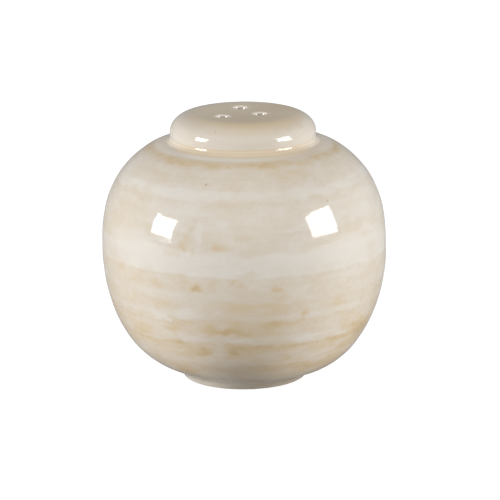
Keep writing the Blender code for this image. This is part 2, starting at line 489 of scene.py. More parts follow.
def new_group(name: str, inputs: dict[str, str]) -> tuple[NodeCanvas, bpy.types.NodeOutputs, Socket]:
    """Starts a shader node group that gives a mask.

    Args:
        name: Name of the group.
        inputs: Names of its inputs and their kinds, such as Float or Vector.

    Returns:
        A canvas for its tree, the sockets of its inputs and the socket to wire its mask to.
    """
    tree = bpy.data.node_groups.new(name, "ShaderNodeTree")
    for label, kind in inputs.items():
        tree.interface.new_socket(name=label, in_out="INPUT", socket_type=f"NodeSocket{kind}")
    tree.interface.new_socket(name="Mask", in_out="OUTPUT", socket_type="NodeSocketFloat")
    canvas = NodeCanvas(tree)
    entry = canvas.add("NodeGroupInput").outputs
    return canvas, entry, canvas.add("NodeGroupOutput").inputs["Mask"]


@dataclass
class SharedEffects:
    """Surface effects that more than one layer uses, each a node group that is built once.

    Attributes:
        cloud_noise: Detail and roughness of the noise behind the soft patches.
        grain_core: Share of a grain's radius that is fully covered.
        dab_core: Share of a spot's reach that is fully covered.
    """

    cloud_noise: Point = (2.0, 0.45)
    grain_core: float = 0.5
    dab_core: float = 0.1

    def __post_init__(self) -> None:
        """Builds the groups."""
        self.cloud = self.make_cloud()
        self.speckle = self.make_speckle()
        self.dab = self.make_dab()

    def make_cloud(self) -> bpy.types.NodeTree:
        """Soft patches, drawn out along any axis by their frequency there.

        Returns:
            The group.
        """
        sockets = {"Position": "Vector", "Frequency": "Vector", "Low": "Float", "High": "Float"}
        canvas, entry, mask = new_group("cloudy_patches", sockets)
        cloud = canvas.noise(canvas.scaled(entry["Position"], entry["Frequency"]), *self.cloud_noise)
        canvas.wire(mask, canvas.step(cloud, entry["Low"], entry["High"]))
        return canvas.tree

    def make_speckle(self) -> bpy.types.NodeTree:
        """Scattered grains: in a share of the cells of a net, one round grain each.

        Returns:
            The group.
        """
        sockets = {"Position": "Vector", "Frequency": "Float", "Radius": "Float", "Share": "Float"}
        canvas, entry, mask = new_group("scattered_grains", sockets)
        wires = {"Vector": entry["Position"], "Scale": entry["Frequency"]}
        net = canvas.add("ShaderNodeTexVoronoi", wires).outputs
        core = canvas.times(entry["Radius"], self.grain_core)
        grain = canvas.step(net["Distance"], core, entry["Radius"], 1.0, 0.0)
        chance = canvas.add("ShaderNodeSeparateColor", {0: net["Color"]}).outputs[0]
        canvas.wire(mask, canvas.times(grain, canvas.maths("LESS_THAN", chance, entry["Share"])))
        return canvas.tree

    def make_dab(self) -> bpy.types.NodeTree:
        """One soft-edged spot around a centre, with its own reach along each axis.

        Returns:
            The group.
        """
        sockets = {"Position": "Vector", "Centre": "Vector", "Reach": "Vector", "Strength": "Float"}
        canvas, entry, mask = new_group("brush_dab", sockets)
        distance = canvas.distance(entry["Position"], entry["Centre"], entry["Reach"])
        spot = canvas.step(distance, self.dab_core, 1.0, 1.0, 0.0)
        canvas.wire(mask, canvas.times(spot, entry["Strength"]))
        return canvas.tree


@dataclass(frozen=True)
class Clouds:
    """Soft patches in a finish.

    Attributes:
        frequency: Patches per millimetre along each axis.
        low: Noise at which a patch sets in.
        high: Noise at which it is full.
    """

    frequency: Triple
    low: float
    high: float

    def wires(self) -> Wires:
        """Inputs of the shared group."""
        return {"Frequency": self.frequency, "Low": self.low, "High": self.high}


@dataclass(frozen=True)
class Grains:
    """Scattered grains in a finish.

    Attributes:
        frequency: Cells of their net per millimetre.
        radius: Radius of a grain, counted in cells.
        share: Share of the cells that hold one.
        strength: How far a grain covers what lies under it.
    """

    frequency: float
    radius: float
    share: float
    strength: float

    def wires(self) -> Wires:
        """Inputs of the shared group."""
        return {"Frequency": self.frequency, "Radius": self.radius, "Share": self.share}


@dataclass(frozen=True)
class BrushBand:
    """One ring of brushed glaze: its height above the table in millimetres, and its tone."""

    height: float
    tone: GlazeTone


@dataclass(frozen=True)
class Spot:
    """A soft-edged spot on the shell.

    Attributes:
        azimuth: Degrees from the front, towards the viewer's right.
        height: Millimetres above the table.
        width: Reach to either side, in millimetres.
        rise: Reach up and down, in millimetres.
        strength: How far it covers what lies under it.
        radius: Millimetres from the axis; the wall's own radius where this is None.
    """

    azimuth: float
    height: float
    width: float
    rise: float
    strength: float
    radius: float | None = None

    def centre(self, shell: "GlazedShell") -> Triple:
        """Middle of the spot.

        Args:
            shell: The shell that it lies on.

        Returns:
            Its place, in millimetres.
        """
        radius = shell.radius_at(self.height * MM) / MM if self.radius is None else self.radius
        turn = math.radians(self.azimuth)
        return radius * math.sin(turn), -radius * math.cos(turn), self.height

    def reach(self) -> Triple:
        """Reach of the spot along each axis, in millimetres."""
        return self.width, self.width, self.rise


@dataclass(frozen=True)
class GlazeDab:
    """A spot where the glaze has another tone."""

    spot: Spot
    tone: GlazeTone


@dataclass(frozen=True)
class NeckRing:
    """A ring of other colour in the groove under the cap: some rings are other glaze, some painted light.

    Attributes:
        height: Millimetres above the table.
        reach: Half its width, in millimetres: where it starts to fade and where it ends.
        colour: Colour that it turns the glaze to.
        strengths: How far it does so on the side that faces away, and on the side that faces it.
        towards: That side of the shaker.
        turn: How far a place faces that side where the strength starts to change and where it stops.
    """

    height: float
    reach: Point
    colour: Colour
    strengths: Point
    towards: Triple = FRONT
    turn: Point = (0.0, 1.0)


@dataclass(frozen=True)
class Surface:
    """A material that is being drawn.

    Attributes:
        material: The material.
        canvas: Its node tree.
        shader: Its principled shader.
        effects: The shared node groups.
        place: Position on the piece, in millimetres.
    """

    material: bpy.types.Material
    canvas: NodeCanvas
    shader: bpy.types.Node
    effects: SharedEffects
    place: Socket

    @classmethod
    def start(cls, name: str, effects: SharedEffects) -> "Surface":
        """Starts a material.

        Args:
            name: Its name.
            effects: The shared node groups.

        Returns:
            The surface to draw on.
        """
        material = bpy.data.materials.new(name)
        material.use_nodes = True
        canvas = NodeCanvas(material.node_tree)
        spot = canvas.add("ShaderNodeTexCoord").outputs["Object"]
        shader = material.node_tree.nodes["Principled BSDF"]
        return cls(material, canvas, shader, effects, canvas.scaled(spot, thrice(1 / MM)))

    def height(self) -> Socket:
        """Height above the table, in millimetres."""
        return self.canvas.add("ShaderNodeSeparateXYZ", {0: self.place}).outputs["Z"]

    def clouds(self, clouds: Clouds) -> Socket:
        """Mask of soft patches."""
        return self.canvas.group(self.effects.cloud, {"Position": self.place, **clouds.wires()})

    def grains(self, grains: Grains) -> Socket:
        """Mask of scattered grains."""
        mask = self.canvas.group(self.effects.speckle, {"Position": self.place, **grains.wires()})
        return self.canvas.times(mask, grains.strength)

    def dab(self, place: Socket, centre: Triple, reach: Triple, strength: float) -> Socket:
        """Mask of a soft-edged spot, from its measures in millimetres."""
        wires = {"Position": place, "Centre": centre, "Reach": reach, "Strength": strength}
        return self.canvas.group(self.effects.dab, wires)

    def spot(self, place: Socket, spot: Spot, shell: "GlazedShell") -> Socket:
        """Mask of a spot on a shell."""
        return self.dab(place, spot.centre(shell), spot.reach(), spot.strength)

    def bump(self, height: Socket, depth: float, strength: float) -> Socket:
        """Normal that a relief gives the surface."""
        wires = {"Strength": strength, "Distance": depth, "Height": height}
        return self.canvas.add("ShaderNodeBump", wires).outputs[0]

    def finish(self, colour: Socket, roughness: Socket, ior: float, normal: Socket) -> bpy.types.Material:
        """Wires the shader.

        Args:
            colour: Colour of the surface.
            roughness: Its roughness.
            ior: Its refraction.
            normal: Its normal.

        Returns:
            The material.
        """
        wires = {"Base Color": colour, "Roughness": roughness, "IOR": ior, "Normal": normal}
        for name, value in wires.items():
            self.canvas.wire(self.shader.inputs[name], value)
        return self.material


@dataclass(frozen=True)
class ReactiveGlaze:
    """Glossy cream glaze, brushed on in rings: white where it is thick and ochre where it ran.

    Attributes:
        white: Colour of the thickest glaze, the first of four that follow its tone.
        cream: Its usual colour.
        tan: Where it ran.
        brown: Where it ran most.
        pooled: Colour of the yellow pools around the cap.
        groove_painted_light: Painted light at the sides of the groove under the cap, lifting its shade.
        iron: Colour of the specks.
        painted_shade: Colour where the glaze is thin over the clay.
        clay: Colour of the bare clay.
        clay_grog: Colour of the grains in it.
        ior: Refraction of the glaze.
        gloss: Roughness of the glaze.
        haze: Where it is a little less glossy.
        haze_roughness: Roughness that this adds.
        clay_roughness: Roughness of the bare clay.
        clay_grains: Grains in the bare clay.
        span: Height that the rings are counted in.
        glaze_foot: Height where the glaze ends above the table.
        foot_edge: How that edge wavers.
        foot_edge_drop: How far it does so.
        foot_edge_blur: Half the width of the edge.
        ripples: Ripple of the glaze.
        ripple_depth: Its depth, in metres.
        cap_ripple: Share of it that is left on the cap.
        grit: Grit of the bare clay.
        grit_depth: Its depth, counted in the ripple's.
        sway_fade: Heights over which the unevenness of the rings fades out under the cap.
        sway: Frequencies and reaches by which the rings leave their height.
        sway_noise: Detail and roughness of that noise.
        fade: Where the rings stand out.
        fade_gain: How much more they do so there, and how much everywhere.
        mottle: Frequencies and depths of the patches in the tone.
        mottle_limits: Noise at which a patch sets in and is full.
        mottle_gain: How much more they show on darker rings, and how much everywhere.
        cap_mottle: Share of them that is left on the cap.
        hairs: Frequencies and depths of the brush hairs.
        hair_noise: Detail and roughness of that noise.
        fray_frequency: Frequency of the fraying at the edges of the dabs.
        fray_detail: Detail of that noise.
        fray_reach: How far they fray.
        neck_rings: Rings in the groove under the cap, some of them painted light, each over the one before.
        top_pool: Middle of the pool on the cap's top.
        top_pool_reach: Its reach along each axis.
        top_pool_edge: Share of the reach where it starts to fade and ends.
        top_pool_strength: How far it covers the glaze.
        top_spots: Tan spots in that pool, partly painted shade where the dished top turns away from the
            light.
        lip_reach: Reach of the white around a pour hole: paler glaze on its lip, painted whiter as a
            highlight where the lamps glint.
        lip_white_and_glint: Its colour, pale glaze with painted highlight.
        throat: Painted shade down in a pour hole, where its throat lies in shadow.
        throat_depth: How deep the middle of that lies.
        throat_reach: Its reach along each axis.
        painted_shade_spots: Where shade is painted, at the foot and low on the belly.
        specks: Iron specks.
        stray: Smaller specks all over.
        bands: The brushed rings, from the foot up.
        dabs: The brush marks, each over the one before.
    """

    white: Colour = (0.682, 0.643, 0.585)
    cream: Colour = (0.63, 0.555, 0.455)
    tan: Colour = (0.60, 0.48, 0.32)
    brown: Colour = (0.52, 0.38, 0.215)
    pooled: Colour = (0.67, 0.558, 0.405)
    groove_painted_light: Colour = (0.82, 0.735, 0.63)
    iron: Colour = (0.27, 0.135, 0.06)
    painted_shade: Colour = (0.40, 0.335, 0.26)
    clay: Colour = (0.56, 0.50, 0.42)
    clay_grog: Colour = (0.36, 0.28, 0.20)
    ior: float = 1.5
    gloss: float = 0.06
    haze: Clouds = Clouds((0.35, 0.35, 0.5), 0.4, 0.75)
    haze_roughness: float = 0.03
    clay_roughness: float = 0.85
    clay_grains: Grains = Grains(2.2, 0.3, 0.35, 0.6)
    span: float = 70.0
    glaze_foot: float = 0.35
    foot_edge: Clouds = Clouds((0.4, 0.4, 0.0), 0.3, 0.7)
    foot_edge_drop: float = 0.35
    foot_edge_blur: float = 0.06
    ripples: Clouds = Clouds((0.25, 0.25, 0.4), 0.2, 0.8)
    ripple_depth: float = 0.007 * MM
    cap_ripple: float = 0.1
    grit: Clouds = Clouds((4.0, 4.0, 4.0), 0.3, 0.7)
    grit_depth: float = 4.0
    sway_fade: Point = (59.4, 60.8)
    sway: tuple[tuple[Triple, float], ...] = (
        ((0.03, 0.03, 0.03), 1.2),
        ((0.15, 0.15, 0.08), 1.2),
        ((0.4, 0.4, 0.3), 0.3),
    )
    sway_noise: Point = (2.0, 0.5)
    fade: Clouds = Clouds((0.07, 0.07, 0.1), 0.3, 0.62)
    fade_gain: Point = (0.6, 0.55)
    mottle: tuple[tuple[Triple, float], ...] = (
        ((0.05, 0.05, 0.08), 0.3),
        ((0.17, 0.17, 0.34), 0.28),
        ((0.36, 0.36, 0.7), 0.16),
        ((0.9, 0.9, 1.3), 0.16),
        ((2.0, 2.0, 2.4), 0.1),
    )
    mottle_limits: Point = (0.28, 0.72)
    mottle_gain: Point = (0.9, 0.25)
    cap_mottle: float = 0.45
    hairs: tuple[tuple[Triple, float], ...] = (
        ((0.03, 0.03, 1.1), 0.2),
        ((0.07, 0.07, 2.6), 0.1),
    )
    hair_noise: Point = (3.0, 0.6)
    fray_frequency: float = 0.4
    fray_detail: float = 1.5
    fray_reach: float = 3.0
    neck_rings: tuple[NeckRing, ...] = (
        NeckRing(61.7, (0.63, 1.05), pooled, (0.3825, 0.85), FRONT, (0.3, 0.8)),
        # Pale ring on the ridge under the groove, partly painted light against the groove's shade.
        NeckRing(60.72, (0.144, 0.36), white, (0.0, 0.68), LEFT_FRONT, (0.35, 0.9)),
        # Painted light that lifts the shade at the sides and back of the groove.
        NeckRing(61.3, (0.7, 1.4), groove_painted_light, (0.55, 0.0), FRONT, (0.3, 0.75)),
        NeckRing(61.65, (0.0, 0.16), brown, (0.3, 0.3)),
        NeckRing(62.45, (0.0, 0.16), brown, (0.3, 0.3)),
    )
    top_pool: Triple = (1.0, -2.5, 68.4)
    top_pool_reach: Triple = (15.4, 13.9, 5.0)
    top_pool_edge: Point = (0.86, 1.02)
    top_pool_strength: float = 0.9
    # Tan glaze, darkened also as painted shade on the front and back of the dished top.
    top_spots: tuple[Spot, ...] = (
        Spot(9.0, 68.4, 16.0, 5.0, 1.0, 9.0),
        Spot(122.0, 68.4, 10.0, 5.0, 0.9, 11.0),
    )
    lip_reach: Triple = (3.1, 3.1, 3.0)
    lip_white_and_glint: Colour = (0.86, 0.84, 0.815)
    throat: Colour = (0.16, 0.13, 0.10)
    throat_depth: float = 1.4
    throat_reach: Triple = (3.0, 3.0, 1.5)
    # Painted shade at the foot and low on the belly, where little light reaches.
    painted_shade_spots: tuple[Spot, ...] = (
        Spot(38.0, 1.2, 15.0, 2.8, 0.75, 15.2),
        Spot(0.0, 0.6, 13.0, 1.4, 0.4, 15.2),
        Spot(-5.0, 8.6, 14.0, 4.5, 0.25),
        Spot(-42.0, 4.0, 12.0, 3.4, 0.65, 19.0),
    )
    specks: tuple[Spot, ...] = (
        Spot(-18.5, 56.0, 0.42, 0.42, 0.58),
        Spot(39.6, 51.2, 0.34, 0.34, 0.6),
        Spot(-23.8, 66.6, 0.42, 0.42, 0.28, 17.0),
    )
    stray: Grains = Grains(0.16, 0.04, 0.06, 0.5)
    bands: tuple[BrushBand, ...] = tuple(
        BrushBand(height, tone)
        for height, tone in (
            (3.2, PALE), (5.5, BUFF), (8.6, STRAW), (9.9, STRAW), (10.6, CREAM), (12.6, BUFF),
            (14.5, STRAW), (16.1, TAN), (16.9, CREAM), (18.3, IVORY), (19.3, BUFF), (20.5, BUFF),
            (22.7, STRAW), (23.4, IVORY), (24.4, IVORY), (25.2, BUFF), (27.4, BUFF), (28.2, IVORY),
            (29.6, IVORY), (30.6, CREAM), (33.9, CREAM), (34.7, MILK), (37.2, MILK), (39.4, MILK),
            (40.8, IVORY), (45.0, IVORY), (45.9, PALE), (50.6, PALE), (51.5, IVORY), (52.3, IVORY),
            (52.9, MILK), (54.3, MILK), (54.9, IVORY), (57.0, CREAM), (58.9, CREAM), (59.3, STRAW),
            (60.0, TAN), (60.6, BUFF), (61.4, CREAM), (62.6, PALE), (65.4, PALE), (66.6, IVORY),
            (67.9, IVORY), (68.2, BUFF),
        )
    )
    dabs: tuple[GlazeDab, ...] = tuple(
        GlazeDab(Spot(azimuth, height, width, rise, strength, *radius), tone)
        for azimuth, height, width, rise, tone, strength, *radius in (
            # The two large white dabs at the sides are whiter glaze, partly painted light for the bright
            # reflection beside the highlights.
            (-50.0, 40.5, 14.0, 6.5, WHITE, 0.8), (46.0, 39.0, 15.0, 5.0, WHITE, 0.8),
            (4.0, 21.0, 17.0, 9.0, TAN, 0.3), (-18.0, 44.6, 1.4, 3.4, WHITE, 0.8),
            (-34.0, 53.7, 9.0, 1.2, WHITE, 0.7), (-58.3, 52.6, 3.6, 1.4, STRAW, 0.4),
            (-8.5, 51.8, 2.4, 0.9, STRAW, 0.5), (7.4, 52.2, 3.0, 0.8, STRAW, 0.4),
            (-25.0, 41.4, 2.0, 2.0, OCHRE, 0.6), (-10.3, 41.7, 3.8, 1.0, OCHRE, 0.6),
            (-0.6, 44.3, 3.0, 1.1, TAN, 0.5), (19.1, 44.7, 5.6, 1.0, TAN, 0.4),
            (-19.1, 31.3, 2.6, 1.4, BROWN, 0.85), (-12.5, 33.1, 2.2, 1.2, TAN, 0.6),
            (-4.6, 33.3, 2.2, 1.2, TAN, 0.6), (-0.3, 32.0, 2.0, 1.1, TAN, 0.6),
            (12.4, 31.0, 2.4, 1.7, OCHRE, 0.9), (-36.3, 31.6, 3.0, 2.0, TAN, 0.5),
            (-26.5, 26.1, 3.0, 1.2, TAN, 0.6), (0.0, 26.6, 9.0, 1.8, TAN, 0.6),
            (14.8, 25.8, 4.0, 2.2, TAN, 0.6), (25.2, 24.2, 1.8, 1.6, OCHRE, 0.8),
            (-31.9, 19.9, 3.2, 1.5, OCHRE, 0.6), (-7.5, 20.2, 4.4, 1.6, BROWN, 0.85),
            (12.5, 21.9, 5.0, 1.6, OCHRE, 0.75), (-50.7, 17.7, 8.0, 2.3, OCHRE, 0.7),
            (63.9, 16.6, 8.0, 4.0, BROWN, 0.85), (-18.7, 13.9, 3.4, 2.0, BROWN, 0.75),
            (-4.6, 14.0, 2.8, 2.2, BROWN, 0.75), (16.0, 15.4, 7.0, 1.4, OCHRE, 0.2),
            (-23.0, 18.0, 6.0, 1.2, MILK, 0.75), (-2.0, 17.7, 7.0, 0.9, MILK, 0.6),
            (26.0, 17.6, 6.0, 1.0, MILK, 0.6), (-36.0, 22.9, 5.0, 1.3, WHITE, 0.8),
            (-19.3, 10.6, 3.4, 1.2, PALE, 0.6), (-68.0, 8.5, 9.0, 4.0, WHITE, 0.7),
            (0.5, 35.0, 6.0, 1.2, BUFF, 0.6), (48.0, 32.9, 9.0, 1.8, MILK, 0.6),
            (9.0, 27.3, 6.0, 1.2, TAN, 0.6), (24.0, 26.2, 2.6, 1.4, TAN, 0.3),
            (2.0, 24.8, 5.0, 0.9, TAN, 0.5), (-14.5, 20.6, 4.2, 2.4, OCHRE, 0.8),
            (60.0, 12.3, 7.0, 2.6, OCHRE, 0.6), (-8.0, 12.4, 5.0, 1.2, OCHRE, 0.5),
            (15.0, 9.0, 6.0, 1.2, OCHRE, 0.5), (-36.0, 9.2, 4.0, 1.2, IVORY, 0.6),
            (-60.0, 26.0, 7.0, 1.9, IVORY, 0.7), (-62.0, 22.5, 8.0, 1.1, PALE, 0.6),
            (49.0, 26.6, 6.0, 1.7, IVORY, 0.7), (3.0, 46.0, 10.0, 2.6, CREAM, 0.6),
            (-23.6, 43.6, 1.6, 1.9, TAN, 0.5), (-22.0, 45.8, 1.5, 1.9, TAN, 0.45),
            (-20.2, 48.0, 1.4, 1.9, STRAW, 0.5), (-20.4, 41.2, 1.2, 2.0, STRAW, 0.5),
            (15.0, 43.4, 4.0, 1.4, CREAM, 0.7), (3.0, 39.4, 12.0, 2.2, PALE, 0.35),
            (27.5, 52.6, 1.8, 2.6, WHITE, 0.6), (33.0, 57.2, 2.4, 1.6, STRAW, 0.6),
            (2.0, 30.4, 8.0, 1.8, BUFF, 0.6), (15.5, 28.6, 3.0, 1.6, TAN, 0.5),
            (36.0, 32.8, 4.5, 1.6, PALE, 0.7), (-26.0, 24.8, 3.2, 0.9, MILK, 0.7),
            (-42.0, 22.4, 7.0, 0.8, MILK, 0.6), (-66.0, 19.0, 6.0, 2.4, TAN, 0.5),
            (-2.0, 19.7, 5.0, 1.3, OCHRE, 0.65), (-15.0, 14.4, 3.2, 1.8, OCHRE, 0.5),
            (66.0, 15.4, 6.0, 4.6, BROWN, 0.65), (-50.0, 9.6, 7.0, 1.3, PALE, 0.5),
            (-4.0, 8.4, 5.0, 1.9, STRAW, 0.6), (-35.0, 6.9, 5.0, 1.7, BROWN, 0.6),
            (43.0, 12.4, 5.0, 1.0, PALE, 0.6), (52.0, 10.0, 5.0, 1.6, OCHRE, 0.6),
            (42.0, 14.8, 3.2, 1.7, TAN, 0.5), (-67.0, 30.0, 8.0, 6.0, PALE, 0.4),
            (6.0, 28.6, 8.0, 3.6, TAN, 0.3), (-53.0, 22.4, 4.0, 1.0, PALE, 0.6),
            (-35.0, 22.4, 3.0, 0.8, MILK, 0.6), (11.0, 16.4, 9.0, 1.0, BUFF, 0.6),
            (-45.0, 55.6, 4.0, 1.2, BUFF, 0.5), (35.0, 55.4, 5.0, 1.4, PALE, 0.6),
            (-12.0, 14.2, 1.8, 2.6, PALE, 0.5), (36.0, 11.9, 6.0, 1.1, PALE, 0.6),
            (28.0, 8.6, 4.0, 1.3, OCHRE, 0.5), (54.0, 17.9, 6.0, 1.8, BROWN, 0.65),
            (54.0, 12.2, 4.5, 1.9, OCHRE, 0.55), (-23.0, 26.0, 4.0, 3.0, PALE, 0.4),
            (16.0, 15.8, 4.0, 1.2, CREAM, 0.5), (-30.0, 4.2, 6.0, 1.6, OCHRE, 0.5),
            (-48.0, 4.0, 6.0, 1.6, OCHRE, 0.4), (-6.0, 8.2, 10.0, 1.8, OCHRE, 0.35),
            (5.0, 41.6, 10.0, 2.4, CREAM, 0.5), (-24.5, 42.3, 2.8, 2.2, STRAW, 0.4),
            (-29.0, 39.8, 4.0, 2.2, BUFF, 0.55), (62.0, 35.5, 5.0, 2.2, BUFF, 0.4),
            (57.0, 49.3, 5.0, 2.2, CREAM, 0.4), (-46.0, 58.3, 4.0, 1.3, PALE, 0.45),
            (-30.0, 11.3, 4.0, 1.4, PALE, 0.35), (-24.0, 24.4, 5.4, 2.8, MILK, 0.8),
            (-50.0, 67.4, 7.0, 1.8, BUFF, 0.6, 15.5), (48.0, 67.4, 7.0, 1.8, STRAW, 0.6, 15.5),
            (-70.0, 60.4, 6.0, 0.7, STRAW, 0.5), (60.0, 60.4, 5.0, 0.7, BUFF, 0.5),
            # The tan dab at -92 degrees, beside the neck, is painted shade.
            (-80.0, 56.2, 8.0, 2.6, WHITE, 0.7), (-92.0, 60.2, 4.5, 1.0, TAN, 0.7),
            (-11.6, 15.7, 2.8, 1.7, PALE, 0.5), (-47.0, 7.0, 4.0, 1.6, PALE, 0.4),
            (62.0, 38.2, 5.0, 2.2, CREAM, 0.45), (-54.0, 42.0, 5.0, 2.2, CREAM, 0.4),
        )
    )

    def material(self, effects: SharedEffects, shell: "GlazedShell") -> bpy.types.Material:
        """Builds the finish.

        Args:
            effects: The shared node groups.
            shell: The shell that it covers, which places the spots.

        Returns:
            The material.
        """
        surface = Surface.start("reactive_glaze", effects)
        canvas = surface.canvas
        bare = self.bare_clay(surface)
        glaze = self.colour(surface, shell, self.tone(surface, shell))
        clay = canvas.blend_colours(surface.grains(self.clay_grains), self.clay, self.clay_grog)
        gloss = canvas.line(surface.clouds(self.haze), self.haze_roughness, self.gloss)
        roughness = canvas.blend_numbers(bare, gloss, self.clay_roughness)
        colour = canvas.blend_colours(bare, glaze, clay)
        return surface.finish(colour, roughness, self.ior, self.ripple(surface, bare))

    def bare_clay(self, surface: Surface) -> Socket:
        """Mask of the standing ring, which is wiped clean of glaze before firing.

        Args:
            surface: Where to draw.

        Returns:
            The mask, 1 on bare clay.
        """
        canvas = surface.canvas
        edge = canvas.line(surface.clouds(self.foot_edge), -self.foot_edge_drop, self.glaze_foot)
        above = canvas.maths("SUBTRACT", surface.height(), edge)
        return canvas.step(above, -self.foot_edge_blur, self.foot_edge_blur, 1.0, 0.0)

    def rings(self, canvas: NodeCanvas, share: Socket) -> Socket:
        """Tone of the brushed rings, on two ramps that meet half-way because one can't hold them all.

        Args:
            canvas: Where to draw.
            share: Height as a share of the span.

        Returns:
            The tone.
        """
        stops = [(band.height / self.span, thrice(band.tone.value)) for band in self.bands]
        half = len(stops) // 2
        low = canvas.ramp(share, stops[: half + 1], "EASE")
        high = canvas.ramp(share, stops[half:], "EASE")
        return canvas.blend_numbers(canvas.maths("GREATER_THAN", share, stops[half][0]), low, high)

    def tone(self, surface: Surface, shell: "GlazedShell") -> Socket:
        """Tone of the glaze, from the brushed rings, the cloudy patches, the brush hairs and the dabs.

        Args:
            surface: Where to draw.
            shell: The shell that it covers.

        Returns:
            The tone, from 0 for white to 1 for brown.
        """
        canvas, place = surface.canvas, surface.place
        height = surface.height()
        below_cap = canvas.step(height, *self.sway_fade, 1.0, 0.0)
        for frequency, reach in self.sway:
            wave = canvas.noise(canvas.scaled(place, frequency), *self.sway_noise)
            shift = canvas.times(canvas.wobble(wave, 2 * reach), below_cap)
            height = canvas.maths("ADD", height, shift)
        rings = self.rings(canvas, canvas.maths("DIVIDE", height, self.span))
        gain = canvas.line(surface.clouds(self.fade), *self.fade_gain)
        tone = canvas.line(canvas.maths("SUBTRACT", rings, CREAM.value), gain, CREAM.value)
        calm = canvas.line(below_cap, 1 - self.cap_mottle, self.cap_mottle)
        lively = canvas.times(canvas.line(rings, *self.mottle_gain), calm)
        for frequency, depth in self.mottle:
            patch = surface.clouds(Clouds(frequency, *self.mottle_limits))
            tone = canvas.line(canvas.wobble(patch, depth), lively, tone)
        for frequency, depth in self.hairs:
            wave = canvas.noise(canvas.scaled(place, frequency), *self.hair_noise)
            tone = canvas.maths("ADD", tone, canvas.wobble(wave, depth))
        frayed = self.frayed(surface)
        for dab in self.dabs:
            tone = canvas.blend_numbers(surface.spot(frayed, dab.spot, shell), tone, dab.tone.value)
        return tone

    def frayed(self, surface: Surface) -> Socket:
        """Place with an uneven shift, which frays the edges of the dabs.

        Args:
            surface: Where to draw.

        Returns:
            The place, in millimetres.
        """
        canvas = surface.canvas
        wires = {"Vector": surface.place, "Scale": self.fray_frequency, "Detail": self.fray_detail}
        noise = canvas.add("ShaderNodeTexNoise", wires).outputs["Color"]
        shift = canvas.vector("SUBTRACT", noise, thrice(0.5)).outputs[0]
        return canvas.vector("ADD", surface.place, canvas.scaled(shift, thrice(self.fray_reach))).outputs[0]

    def colour(self, surface: Surface, shell: "GlazedShell", tone: Socket) -> Socket:
        """Colour of the glaze.

        Args:
            surface: Where to draw.
            shell: The shell that it covers.
            tone: Its tone.

        Returns:
            The colour, with the rings under the cap, the pool on its top, the pour holes, the painted shade
            low down and the specks.
        """
        canvas, place = surface.canvas, surface.place
        stops = ((WHITE, self.white), (CREAM, self.cream), (TAN, self.tan), (BROWN, self.brown))
        colour = canvas.ramp(tone, [(stop.value, shade) for stop, shade in stops], "LINEAR")
        height = surface.height()
        side = canvas.vector("NORMALIZE", canvas.scaled(place, (1.0, 1.0, 0.0))).outputs[0]
        for ring in self.neck_rings:
            strength = canvas.step(canvas.facing(side, ring.towards), *ring.turn, *ring.strengths)
            mask = canvas.times(canvas.near(height, ring.height, ring.reach), strength)
            colour = canvas.blend_colours(mask, colour, ring.colour)
        away = canvas.distance(place, self.top_pool, self.top_pool_reach)
        pool = canvas.step(away, *self.top_pool_edge, self.top_pool_strength, 0.0)
        masks = [(pool, self.pooled)]
        masks += [(surface.spot(place, spot, shell), self.tan) for spot in self.top_spots]
        masks += self.pour_holes(surface, shell)
        # Painted shade low on the shaker.
        masks += [(surface.spot(place, spot, shell), self.painted_shade) for spot in self.painted_shade_spots]
        masks += [(surface.spot(place, spot, shell), self.iron) for spot in self.specks]
        masks.append((surface.grains(self.stray), self.iron))
        for mask, shade in masks:
            colour = canvas.blend_colours(mask, colour, shade)
        return colour

    def pour_holes(self, surface: Surface, shell: "GlazedShell") -> list[tuple[Socket, Colour]]:
        """Paler glaze around the pour holes, with painted highlight for their glints, and painted shade down
        in them.

        Args:
            surface: Where to draw.
            shell: The shell that it covers.

        Returns:
            Masks and their colours, in the order in which they lie over each other.
        """
        top = shell.cap_top / MM
        # The white at each lip is paler glaze and also painted highlight for the lamps' glints on it.
        lip = (top, self.lip_reach, self.lip_white_and_glint)
        # Painted shade deep in each hole.
        throat = (top - self.throat_depth, self.throat_reach, self.throat)
        masks = []
        for hole in shell.holes:
            across, along = hole.middle
            for level, reach, shade in (lip, throat):
                centre = (across / MM, along / MM, level)
                masks.append((surface.dab(surface.place, centre, reach, 1.0), shade))
        return masks

    def ripple(self, surface: Surface, bare: Socket) -> Socket:
        """Normal of the surface: a faint ripple in the glaze and a gritty ring of clay.

        Args:
            surface: Where to draw.
            bare: Mask of the bare clay.

        Returns:
            The normal.
        """
        canvas = surface.canvas
        share = canvas.step(surface.height(), *self.sway_fade, 1.0, self.cap_ripple)
        soft = canvas.times(surface.clouds(self.ripples), share)
        grit = canvas.times(surface.clouds(self.grit), self.grit_depth)
        return surface.bump(canvas.blend_numbers(bare, soft, grit), self.ripple_depth, 1.0)


